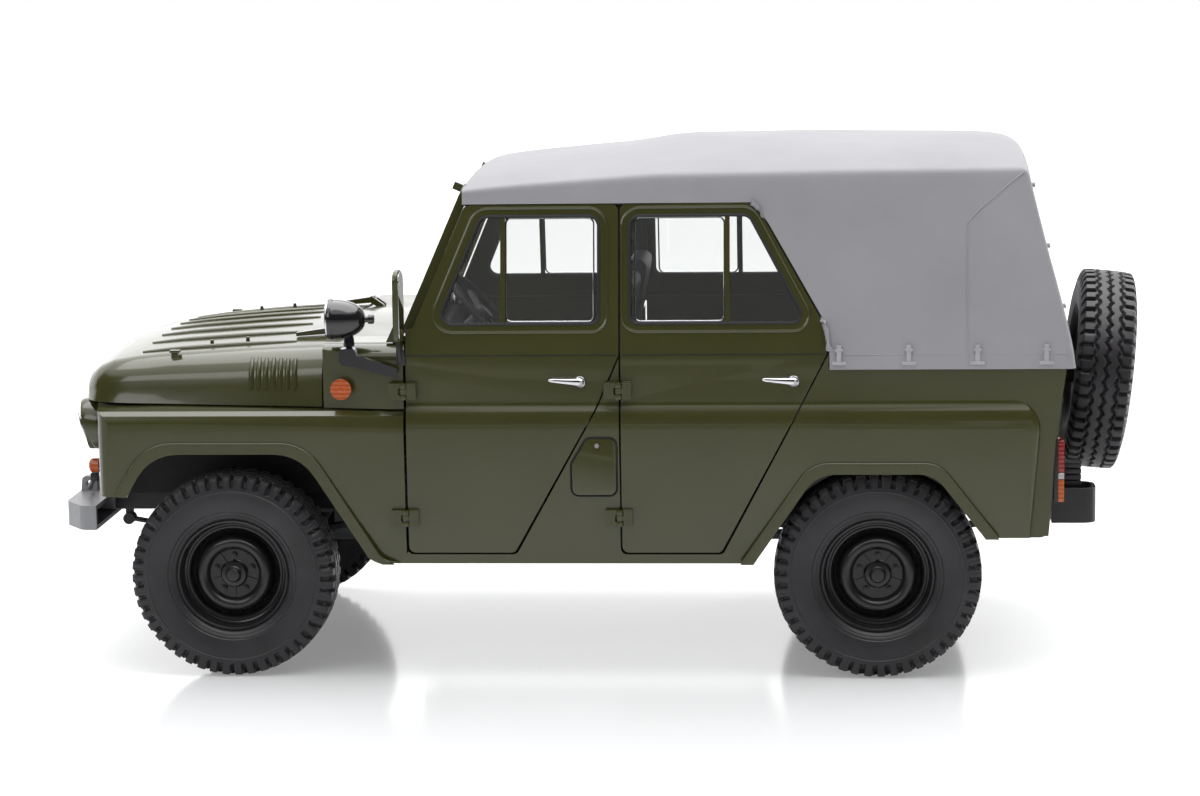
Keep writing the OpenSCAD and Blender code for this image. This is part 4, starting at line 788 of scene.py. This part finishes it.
TOP_X = [TOP_FRONT_X, 111.5, 117, 127, 146, 166, 186, 198, 210, 226, 240, SLANT_X, 250, 257, 264, 270,
         SLANT_FOOT_X, DOOR_BACK_X + 0.9, 282, 295, 312, 330, 346, 358, TOP_BACK_X]
TOP_ACROSS = [1, 0.955, 0.86, 0.7, 0.5, 0.25, 0, -0.25, -0.5, -0.7, -0.86, -0.955, -1]
TOP_LEVELS = [0, 0.025, 0.1, 0.26, 0.44, 0.62, 0.8, 1]


def top_heights(x):
    """Heights of the side wall's rows at x, the last two near its upper crease."""
    low_z, high_z = top_foot(x), crease_z(x)
    near = min(6.0, 0.4 * (high_z - low_z))
    return [low_z + (high_z - near - low_z) * t for t in TOP_LEVELS] + [high_z]


def quads(bm, grid):
    for a, b in zip(grid, grid[1:]):
        for k in range(len(a) - 1):
            bm.faces.new((a[k], b[k], b[k + 1], a[k + 1]))


def top_cage():
    """The coarse net of the top: two side walls, a crowned roof and a bulging back."""
    bm = bmesh.new()
    crease = bm.verts.layers.float.new("crease_vert")
    wall = {side: [[bm.verts.new(top_point(x, side, z)) for z in top_heights(x)] for x in TOP_X]
            for side in (1, -1)}
    roof = []
    for i, x in enumerate(TOP_X):
        row = [wall[1][i][-1]]
        for f in TOP_ACROSS[1:-1]:
            rise = (crown_z(x) - crease_z(x)) * (1 - abs(f) ** 2.6)
            bulge = BACK_BULGE * (1 - f * f) * (x == TOP_BACK_X)
            y = f * (frame_y(crease_z(x)) + CLEAR_OF_FRAMES)
            row.append(bm.verts.new(P(x + bulge, y, crease_z(x) + rise)))
        roof.append(row + [wall[-1][i][-1]])
    back = []
    for j, z in enumerate(top_heights(TOP_BACK_X)[:-1]):
        row = [wall[1][-1][j]]
        for f in TOP_ACROSS[1:-1]:
            y = f * (frame_y(z) + CLEAR_OF_FRAMES)
            row.append(bm.verts.new(P(back_x(z) + BACK_BULGE * (1 - f * f), y, z)))
        back.append(row + [wall[-1][-1][j]])
    for grid in (wall[1], wall[-1], roof, back + [roof[-1]]):
        quads(bm, grid)
    foot = TOP_X.index(SLANT_FOOT_X)
    for side in (1, -1):
        for i in (0, TOP_X.index(SLANT_X), foot, foot + 1):
            wall[side][i][0][crease] = 1.0
    bmesh.ops.recalc_face_normals(bm, faces=bm.faces)
    if bm.faces[0].normal.y < 0:
        bmesh.ops.reverse_faces(bm, faces=bm.faces)
    return from_bm(bm, "soft_top_moulded")


def slacken(mesh):
    """A slow rise and fall of the moulded cloth, some tenths of a mm deep."""
    normals = [v.normal.copy() for v in mesh.vertices]
    for v, normal in zip(mesh.vertices, normals):
        p = v.co / MM
        slack = field.noise(Vector((p.x / 46, p.y / 60, p.z / 38))) + 0.4 * field.noise(p / 17)
        v.co += normal * slack * 0.3 * MM


def soft_top():
    obj = add("soft_top_moulded", top_cage(), CANVAS, "body")
    round_off = obj.modifiers.new("round", "SUBSURF")
    round_off.levels = round_off.render_levels = 3
    slacken(applied(obj))
    wall = obj.modifiers.new("wall", "SOLIDIFY")
    wall.thickness = 1.7 * MM
    wall.offset = -1
    applied(obj)
    obj.data.materials.clear()
    obj.data.materials.append(CANVAS)
    shade(obj, 50)
    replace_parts(obj, "soft_top")


def staple(bm, side, x):
    """A flat strap with a foot and a cross bar, which holds the skirt at x."""
    y = frame_y(148)
    for lo, hi in (((x - 1.1, y, 146.4), (x + 1.1, y + 1.0, 154.4)),
                   ((x - 3.2, y - 0.2, 145.4), (x + 3.2, y + 1.3, 147.0)),
                   ((x - 1.8, y - 0.2, 151.6), (x + 1.8, y + 1.3, 152.8))):
        box_bm(bm, (lo[0], side * lo[1], lo[2]), (hi[0], side * hi[1], hi[2]))


def top_trim():
    """Seams, hem, the staples that hold the skirt and the studs on the back."""
    bm = bmesh.new()
    fittings = bmesh.new()
    for side in (LEFT, RIGHT):
        seam = [(SEAM_X, 144.2 + (SEAM_BEND_Z - 144.2) * i / 10) for i in range(11)]
        seam += [(SEAM_X + 25.5 * i / 8, SEAM_BEND_Z + 22.5 * (i / 8) ** 0.9) for i in range(1, 9)]
        hem = [(DOOR_BACK_X + 3 + 105 * i / 12, 149.9) for i in range(13)]
        for line, radius in ((seam, 0.42), (hem, 0.22)):
            tube(bm, [P(x, side * (frame_y(z) + 0.25), z) for x, z in line], radius, 6)
        for x in STAPLES_X:
            staple(fittings, side, x)
    for z in (222, 194, 166):
        for y in (-60, 60):
            tube(fittings, [P(back_x(z) + 1, y, z), P(back_x(z) + 3.0, y, z + 0.4)], 1.2, 12)
    add("soft_top_seams", from_bm(bm, "soft_top_seams"), CANVAS, "body")
    add("soft_top_staples", from_bm(bevelled(fittings, 0.25), "soft_top_staples"), STAPLE, "body")


soft_top()
top_trim()

# ---------------------------------------------------------------- doors


def screen_x(z):
    """The leaning windscreen pillar's front edge at height z."""
    return 80.6 + (z - 160) * 0.433


WINDOW_FOOT = 164.0
WINDOW_TOP = RAIL_Z - 5
PILLAR = 14.4  # from the windscreen pillar's front edge to the front window
FRONT_WINDOW = [(screen_x(165) + PILLAR, WINDOW_FOOT, 5), (DOOR_SEAM_X - 9, WINDOW_FOOT, 4),
                (DOOR_SEAM_X - 9, WINDOW_TOP, 5), (screen_x(WINDOW_TOP) + PILLAR, WINDOW_TOP, 5)]
REAR_WINDOW = [(DOOR_SEAM_X + 4.5, WINDOW_FOOT, 4), (DOOR_BACK_X - 11, WINDOW_FOOT, 4),
               (DOOR_BACK_X - 12, 170, 4), (DOOR_BACK_X - DOOR_SLANT - 2.5, WINDOW_TOP, 5),
               (DOOR_SEAM_X + 4.5, WINDOW_TOP, 5)]
DIVIDERS = {"front": 128.0, "rear": WHEELBASE - 67.5}


def grown(outline, by):
    """An outline moved out by a distance along its corners' bisectors."""
    n = len(outline)
    out = []
    for i in range(n):
        a, p, b = (Vector(outline[k % n]) for k in (i - 1, i, i + 1))
        d = (b - a).normalized()
        normal = Vector((d.y, -d.x))
        out.append(tuple(p + normal * by))
    return out


def frame_tube(bm, outline, side, out, radius, sides):
    """A closed tube on a window frame, its middle out mm proud of the face."""
    path = [P(x, side * (frame_y(z) + out), z) for x, z in outline]
    tube(bm, path, radius, sides, closed=True)


def pane_outline(end):
    """The bright channel round the sliding pane, from the divider to the middle pillar."""
    near = DOOR_SEAM_X - 10.2 if end == "front" else DOOR_SEAM_X + 5.7
    x0, x1 = sorted((DIVIDERS[end], near))
    foot_z, top_z = WINDOW_FOOT + 1.2, WINDOW_TOP - 1.2
    corners = [(x0 + 1.4, foot_z), (x1 - 1.4, foot_z), (x1 - 1.4, top_z), (x0 + 1.4, top_z)]
    return rounded([(x, z, 2.5) for x, z in corners], 4)


def door_trim(side, word, end, window):
    """Rubber, pressed bead and bright strips of a window, and a line of painted shade along the joint below
    its frame.
    """
    outline = rounded(window, 6)
    body = f"{word}_{end}_door"
    gasket, bead, strip, seam = bmesh.new(), bmesh.new(), bmesh.new(), bmesh.new()
    frame_tube(gasket, grown(outline, -0.2), side, -0.35, 0.85, 8)
    frame_tube(bead, grown(outline, 3.4), side, -0.25, 0.8, 8)
    frame_tube(strip, grown(outline, -0.2), side, 0.15, 0.28, 6)
    frame_tube(strip, pane_outline(end), side, -0.9, 0.4, 6)
    add(f"{body}_gasket", from_bm(gasket, "gasket"), RUBBER_SEAL, body)
    add(f"{body}_bead", from_bm(bead, "bead"), GREEN, body)
    add(f"{body}_pane_channel", from_bm(strip, "channel"), CHROME, body)
    ends = (DOOR_FRONT_X, DOOR_SEAM_X) if end == "front" else (DOOR_SEAM_X, DOOR_BACK_X)
    # Painted shade: a thin near-black tube along the joint between the door and its window frame
    line = [P(x, side * BELT_HALF_W, BELT_Z + 0.1) for x in (ends[0] + 1.2, ends[1] - 1.2)]
    tube(seam, line, 0.22, 6)
    add(f"{body}_belt_joint_shade", from_bm(seam, "belt_joint_shade"), GAP_SHADE, body)


def hinge_screws(side, word):
    """Two screws in each leaf of each hinge; one leaf moves with the door."""
    face = BODY_HALF_W + 1.7
    for end, pin_x in (("front", DOOR_FRONT_X - 0.4), ("rear", DOOR_SEAM_X - 0.4)):
        fixed, moving = bmesh.new(), bmesh.new()
        for z in (76, SHOULDER_Z + 9.5):
            for dz in (-2.2, 2.2):
                for leaf, x in ((fixed, pin_x - 4.3), (moving, pin_x + 4.0)):
                    tube(leaf, [P(x, side * (face + t), z + dz) for t in (-0.6, 0.5)], 0.75, 12)
        add(f"{word}_{end}_hinge_screws_fixed", from_bm(fixed, "screws"), GREEN, "body")
        add(f"{word}_{end}_hinge_screws", from_bm(moving, "screws"), GREEN, f"{word}_{end}_door")


LEVER = 15.2  # a door handle's length in mm


def door_handle(side, word, end, pivot_x):
    """A flat escutcheon, a round boss and a lever that narrows to the front."""
    z = SHOULDER_Z + 13
    y = BELT_HALF_W
    plate = ((0.2, 2.4), (0.5, 2.6), (0.9, 2.3), (1.0, 1.6))
    boss = ((0.6, 1.3), (2.2, 1.3), (2.6, 2.0), (3.6, 2.0), (4.1, 1.5))
    bm = bmesh.new()
    for profile in (plate, boss):
        tube(bm, [P(pivot_x, side * (y + t), z) for t, r in profile], [r for t, r in profile], 24)
    path, radii = [], []
    for i in range(13):
        t = i / 12
        bow = 3.3 + 0.5 * math.sin(math.pi * t)
        path.append(P(pivot_x + 1.2 - LEVER * t, side * (y + bow), z + 0.2 + t))
        radii.append((1.9 - 1.15 * t ** 0.7) * (0.55 if i in (0, 12) else 1))
    tube(bm, path, radii, 16, squash=0.5)
    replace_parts(add(f"{word}_{end}_handle_lever", from_bm(bm, "handle"), CHROME, f"{word}_{end}_door"),
                f"{word}_{end}_door_handle")


def pillar_seals():
    """Rubber behind the joint between the doors, along the top of the frames and down the slant."""
    bm = bmesh.new()
    top_x, drop = SLANT_X - 0.1, RAIL_Z - NOTCH_Z
    line = [(110.5, RAIL_Z + 0.2), (top_x - 2, RAIL_Z + 0.2), (top_x, RAIL_Z - 0.4)]
    line += [(top_x + (DOOR_SLANT - 0.2) * t, RAIL_Z - drop * t) for t in (0.25, 0.5, 0.75, 1.0)]
    line += [(DOOR_BACK_X + 0.5, 152), (DOOR_BACK_X + 0.5, 145)]
    for side in (LEFT, RIGHT):
        path = [P(DOOR_SEAM_X, side * (frame_y(z) - 3.6), z) for z in (151, 170, 195, 217.2)]
        tube(bm, path, 1.5, 10)
        tube(bm, [P(x, side * (frame_y(z) - 1.5), z) for x, z in line], 0.85, 8)
    add("pillar_seals", from_bm(bm, "pillar_seals"), RUBBER_SEAL, "body")


pillar_seals()
for side, word in SIDES:
    door_handle(side, word, "front", 163.0)
    door_handle(side, word, "rear", WHEELBASE - 37.7)
    door_trim(side, word, "front", FRONT_WINDOW)
    door_trim(side, word, "rear", REAR_WINDOW)
    hinge_screws(side, word)

# ---------------------------------------------------------------- bonnet


def on_bonnet(x, y, out):
    """A point out mm above the bonnet's top at x, y."""
    return P(x, y, top_of("bonnet", x, y) + out)


RIB_FRONT_X, RIB_BACK_X = -46, 28


def bonnet_ribs():
    """Seven pressed ribs that close in a little towards the front and fade at both ends."""
    bm = bmesh.new()
    count = 20
    for y in (-72, -48, -24, 0, 24, 48, 72):
        path, radii = [], []
        for i in range(count + 1):
            x = RIB_FRONT_X + (RIB_BACK_X - RIB_FRONT_X) * i / count
            path.append(on_bonnet(x, y * (1 - 0.0012 * (RIB_BACK_X - x)), -0.1))
            radii.append(0.35 + 1.15 * math.sin(math.pi * (0.04 + 0.92 * i / count)) ** 0.5)
        tube(bm, path, radii, 10)
    add("bonnet_ribs", from_bm(bm, "bonnet_ribs"), GREEN, "bonnet", angle=80)


def bonnet_louvres():
    """Seven upright louvres on each cheek of the bonnet."""
    bm = bmesh.new()
    for side in (LEFT, RIGHT):
        for i in range(7):
            x = 10 + 3.45 * i
            path, radii = [], []
            for j in range(9):
                z = 133.2 + 14 * j / 8
                path.append(P(x, side * (side_of("bonnet", x, z, side) - 0.15), z))
                radii.append(0.5 + 0.85 * math.sin(math.pi * (0.08 + 0.84 * j / 8)) ** 0.4)
            tube(bm, path, radii, 10)
    add("bonnet_louvres", from_bm(bm, "bonnet_louvres"), GREEN, "bonnet", angle=80)


def bonnet_catches():
    """A catch at each side, and the four studs that the folded windscreen rests on."""
    bm, studs = bmesh.new(), bmesh.new()
    for side in (LEFT, RIGHT):
        x, y = -28, side * 79
        z = top_of("bonnet", x, y)
        box_bm(bm, (x - 1.6, y - 1.6, z - 4.5), (x + 1.6, y + 1.6, z + 2.6))
        box_bm(bm, (x - 2.4, y - 2.0, z + 1.8), (x + 2.4, y + 2.0, z + 3.0))
        for sx in (-13, 4):
            a = on_bonnet(sx, side * 66, -0.5)
            tube(studs, [a, a + Vector((0, 0, 3.2 * MM))], [1.1, 0.8], 12)
    add("bonnet_catches", from_bm(bevelled(bm, 0.35, 2), "catches"), GREEN, "bonnet")
    add("bonnet_studs", from_bm(studs, "studs"), GREEN, "bonnet")


bonnet_ribs()
bonnet_louvres()
bonnet_catches()

# ---------------------------------------------------------------- lamps and fittings


def dome(centre, axis, radius, height):
    """A shallow dome with a closed back, bulging along axis; sizes in mm."""
    steps = 8
    angles = [math.pi / 2 * i / steps for i in range(steps + 1)]
    profile = [(0, -0.4), (radius, -0.4)]
    profile += [(radius * math.sin(math.pi / 2 - g), height * math.sin(g)) for g in angles]
    bm = revolve(profile, 32, "Z")
    turn_to = UPWARD.rotation_difference(axis).to_matrix().to_4x4()
    bmesh.ops.transform(bm, matrix=Matrix.Translation(centre) @ turn_to, verts=bm.verts)
    return bm


def ring(centre, axis, radius, thick):
    """A round bar bent to a ring about axis; sizes in mm."""
    bm = bmesh.new()
    u = axis.orthogonal().normalized()
    v = axis.cross(u)
    path = [centre + (u * math.cos(g) + v * math.sin(g)) * radius * MM for g in circle(40)]
    tube(bm, path, thick, 10, closed=True)
    return bm


HEADLIGHT_Z = 113.5
HEADLIGHT_LEAN = 0.24  # how far its face leans back for each mm of height
REFLECTOR = [(0, 7.2), (4, 6.4), (7, 4.4), (9.3, 0.9), (9.3, 0.5), (6.8, 3.9), (3.9, 5.9), (0, 6.7)]
SHELL = [(9.9, 0.4), (10.6, 0.4), (11.6, 1.0), (12.2, 2.4), (12.3, 8), (9.9, 8), (9.9, 0.4)]
REPEATER_X, REPEATER_Z = 53.5, 135
SEARCH_X, SEARCH_Y, SEARCH_Z = 57.5, -103.5, 167


def turned_at(profile, segments, at):
    """A profile turned about the car's length and moved to a point."""
    bm = revolve(profile, segments, "X")
    bmesh.ops.translate(bm, vec=at, verts=bm.verts)
    return bm


def headlight(side, word):
    """Lens, ring, reflector and shell, leaned back with the front panel."""
    at = P(NOSE_X - 0.9, side * 66, HEADLIGHT_Z)
    shear = Matrix(((1, 0, -HEADLIGHT_LEAN, 0), (0, 1, 0, 0), (0, 0, 1, 0), (0, 0, 0, 1)))
    lean = Matrix.Translation(at) @ shear @ Matrix.Translation(-at)
    made = {}
    for kind, bm, material in (("lens", dome(at, AHEAD, 9.6, 2.0), LAMP_GLASS),
                               ("ring", ring(at, AHEAD, 10.0, 0.8), CHROME),
                               ("reflector", turned_at(REFLECTOR, 40, at), CHROME),
                               ("shell", turned_at(SHELL, 56, at), GREEN)):
        bmesh.ops.transform(bm, matrix=lean, verts=bm.verts)
        made[kind] = add(f"{word}_headlight_{kind}", from_bm(bm, kind), material, "body")
    if side == LEFT:
        reflector = made["reflector"]
        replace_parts(reflector, "headlights")


def side_lamps(side, word):
    """The front indicator, and the repeater on the wing with its ridged lens."""
    at = P(NOSE_X + 1.9, side * 70, 94.1)
    add(f"{word}_indicator_lens", from_bm(dome(at, AHEAD, 3.4, 1.8), "lens"), ORANGE, "body")
    out = OUTWARD * side
    face = side_of("indicators", REPEATER_X, REPEATER_Z, side)
    foot, front = (P(REPEATER_X, side * (face - depth), REPEATER_Z) for depth in (3.2, 1.2))
    add(f"{word}_repeater_ring", from_bm(ring(foot, out, 4.3, 0.7), "ring"), GREEN, "body")
    add(f"{word}_repeater_lens", from_bm(dome(foot, out, 3.9, 3.4), "lens"), ORANGE, "body")
    add(f"{word}_repeater_lens_ridge", from_bm(ring(front, out, 2.9, 0.35), "ridge"), ORANGE, "body")


def search_lamp():
    """A bowl on a foot, with lens and ring in front and a knob behind."""
    front = P(SEARCH_X - 9.2, SEARCH_Y, SEARCH_Z)
    add("search_lamp_lens", from_bm(dome(front, AHEAD, 8.6, 0.9), "lens"), LAMP_GLASS, "search_lamp")
    add("search_lamp_ring", from_bm(ring(front, AHEAD, 8.9, 0.55), "ring"), CHROME, "search_lamp")
    profile = [(0, -7.6), (8.2, -7.6), (8.4, -8.9), (9.2, -8.9), (9.5, -8.4), (9.5, -7.2), (9.2, -6.8)]
    for i in range(13):
        g = math.pi / 2 * i / 12
        profile.append((9.1 * math.cos(g) ** 0.8, -6.4 + 14.2 * math.sin(g)))
    bowl = turned_at(profile, 48, P(SEARCH_X, SEARCH_Y, SEARCH_Z))
    foot = [P(SEARCH_X, SEARCH_Y, z) for z in (154.6, 155.2, 158.0, 160.5)]
    tube(bowl, foot, [2.2, 2.6, 2.4, 1.8], 16)
    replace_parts(add("search_lamp_bowl", from_bm(bowl, "bowl"), GLOSS_BLACK, "search_lamp"), "search_lamp")
    knob = bmesh.new()
    path = [P(SEARCH_X + x, SEARCH_Y, SEARCH_Z) for x in (7.1, 9.1, 9.2, 11.5, 11.9)]
    tube(knob, path, [1.6, 1.4, 2.2, 2.2, 1.4], 16)
    add("search_lamp_knob", from_bm(knob, "knob"), GLOSS_BLACK, "search_lamp")


TAIL_LENSES = (("stop", 95.5, 110, RED), ("reverse", 92.5, 95.3, CLEAR_LENS), ("turn", 82, 92.3, ORANGE))


def tail_lamps():
    """Three lenses one above the other on a black base, at each rear corner."""
    low_x, high_x = (v.x / MM - FRONT_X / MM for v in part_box("tail_lamps"))
    for side, word in SIDES:
        for name, z0, z1, material in TAIL_LENSES:
            bm = bmesh.new()
            box_bm(bm, (low_x + 2.2, side * 92.6, z0), (high_x, side * 102.6, z1))
            obj = add(f"{word}_{name}_lens", from_bm(bevelled(bm, 0.55, 3), "lens"), material, "body")
            if word == "left" and name == "stop":
                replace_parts(obj, "tail_lamps")
        base = bmesh.new()
        box_bm(base, (low_x + 0.4, side * 92.2, 81.6), (low_x + 2.4, side * 103.0, 110.4))
        add(f"{word}_tail_lamp_base", from_bm(bevelled(base, 0.4, 2), "base"), BLACK, "body")


def fuel_flaps():
    """A flap with a cut corner behind each front door, a ring of painted shade round its groove, and its
    knob.
    """
    corners = [(159, 86.5), (179, 86.5), (179, 112.5), (166, 112.5), (159, 101)]
    outline = rounded([(x, z, 3) for x, z in corners], 4)
    for side, word in SIDES:
        panel = f"{word}_body_side"
        y = side_of(panel, 172, 100, side)
        flap, edge, knob = bmesh.new(), bmesh.new(), bmesh.new()
        prism(flap, outline, P(0, side * (y - 0.6), 0), ASTERN, UPWARD, OUTWARD * side, 1.1)
        add(f"{word}_fuel_flap", from_bm(bevelled(flap, 0.35), "flap"), GREEN, "body")
        # Painted shade: a near-black ring along the groove round the flap
        path = [P(x, side * side_of(panel, x, z, side), z) for x, z in grown(outline, 0.5)]
        tube(edge, path, 0.45, 8, closed=True)
        add(f"{word}_fuel_flap_groove_shade", from_bm(edge, "edge"), GAP_SHADE, "body")
        tube(knob, [P(170.5, side * (y + t), 109.3) for t in (0.3, 1.5)], [1.3, 1.0], 16)
        add(f"{word}_fuel_flap_knob", from_bm(knob, "knob"), STEEL, "body")


def mirrors():
    """Tall rounded mirrors on bent stems at the feet of the windscreen pillars."""
    shells, stems, faces = bmesh.new(), bmesh.new(), bmesh.new()
    outline = rounded([(-5.4, 156, 5), (6.0, 157, 4), (6.2, 190, 5.5), (-5.6, 190, 5.5)], 6)
    inner = rounded([(-4.5, 157.2, 4.2), (5.2, 158, 3.4), (5.4, 189, 4.8), (-4.8, 189, 4.8)], 6)
    for side in (LEFT, RIGHT):
        aside = Vector((-0.10, side, 0)).normalized()
        back = Vector((1, side * 0.10, 0)).normalized()
        centre = P(79.6, side * 107, 0)
        prism(shells, outline, centre, aside, UPWARD, back, 2.6)
        prism(faces, inner, centre + back * 2.55 * MM, aside, UPWARD, back, 0.35)
        tube(stems, [P(81.0, side * 104.6, 146.5), P(80.9, side * 105.8, 149), P(80.7, side * 106.6, 153),
                     P(80.6, side * 107, 158)], [1.5, 1.2, 1.1, 1.0], 12)
        prism(stems, [(0, 146.0), (4.4, 146.0), (4.0, 150), (1.6, 160), (0, 160)], P(79.4, side * 104.8, 0),
              ASTERN, UPWARD, OUTWARD * side, 1.4)
    shell = add("mirror_shells", from_bm(bevelled(shells, 0.8, 3), "mirror_shells"), GREEN, "body")
    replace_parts(shell, "mirrors")
    add("mirror_stems", from_bm(bevelled(stems, 0.25, 2, 60), "mirror_stems"), BLACK, "body")
    add("mirror_faces", from_bm(bevelled(faces, 0.12, 1), "mirror_faces"), MIRROR, "body")


def rear_buffers():
    """Ribbed rubber blocks beside the spare wheel."""
    bm = bmesh.new()
    for side in (LEFT, RIGHT):
        for i in range(4):
            z = 86.3 + i * 2.8
            box_bm(bm, (381.6, side * 75.5, z), (390.4, side * 84.5, z + 2.3))
        box_bm(bm, (379.6, side * 77, 86.3), (388.4, side * 83, 97.2))
    add("rear_buffers", from_bm(bevelled(bm, 0.4, 2), "rear_buffers"), BLACK, "body")


def front_arch(grow):
    """The front wheel opening's outline, moved out by grow mm."""
    return rounded([(-46.7 - grow * 1.16, 86.2, 0), (-35 - grow * 0.57, 105.5 + grow, 22),
                    (34.2 + grow * 0.55, 105.5 + grow, 22), (65.5 + grow * 1.15, 56.4, 8),
                    (74.0 + grow, 54.6, 0)], 8)


def rear_arch(grow):
    """The rear wheel opening's outline, moved out by grow mm."""
    return rounded([(WHEELBASE - 56.0 - grow * 1.22, SILL_Z + 0.6, 0),
                    (WHEELBASE - 27.6 - grow * 0.52, 95.8 + grow, 16),
                    (WHEELBASE + 25.3 + grow * 0.49, 95.8 + grow, 14),
                    (WHEELBASE + 48.0 + grow * 1.27, SILL_Z + 12.6, 0)], 8)


def arch_beads():
    """Rolled outer edge of the pressed lips round the wheel openings."""
    bm = bmesh.new()
    for side, word in SIDES:
        for outline, node in ((front_arch, "wing"), (rear_arch, "body_side")):
            path = []
            for (x, z), (xi, zi), (xo, zo) in zip(outline(4.9), outline(3.6), outline(6.2)):
                node_name = f"{word}_{node}"
                y = max(side_of(node_name, xi, zi, side), side_of(node_name, xo, zo, side))
                path.append(P(x, side * (y - 0.05), z))
            tube(bm, path, 0.5, 10)
    add("arch_beads", from_bm(bm, "arch_beads"), GREEN, "body", angle=60)


def bonnet_seals():
    """Rubber strips that close the gap between the bonnet's edge and the wings."""
    bm = bmesh.new()
    for side in (LEFT, RIGHT):
        path = [P(x, side * 82.6, 124.2) for x in (-64, -62, -40, 0, 42, 44)]
        tube(bm, path, [0.8, 1.5, 1.5, 1.5, 1.5, 0.8], 10)
        box_bm(bm, (-64, side * 82.2, 112), (44, side * 83.8, 124))
    add("bonnet_seals", from_bm(bm, "bonnet_seals"), RUBBER_SEAL, "body")


def indicator_brackets():
    """Stays from the bumper to the front indicators."""
    bm = bmesh.new()
    stay = ((3, 70, 88.0), (-1, 62, 84.0), (-4, 52, 80.2))
    for side in (LEFT, RIGHT):
        tube(bm, [P(NOSE_X + x, side * y, z) for x, y, z in stay], [0.9, 1.1, 1.3], 12)
        box_bm(bm, (NOSE_X + 1.2, side * 67.4, 86.8), (NOSE_X + 4.4, side * 72.6, 90.6))
    add("indicator_brackets", from_bm(bevelled(bm, 0.3, 2), "brackets"), BLACK, "body")


arch_beads()
bonnet_seals()
indicator_brackets()
for side, word in SIDES:
    headlight(side, word)
    side_lamps(side, word)
search_lamp()
finish_node("indicators", ORANGE)
tail_lamps()
fuel_flaps()
mirrors()
rear_buffers()
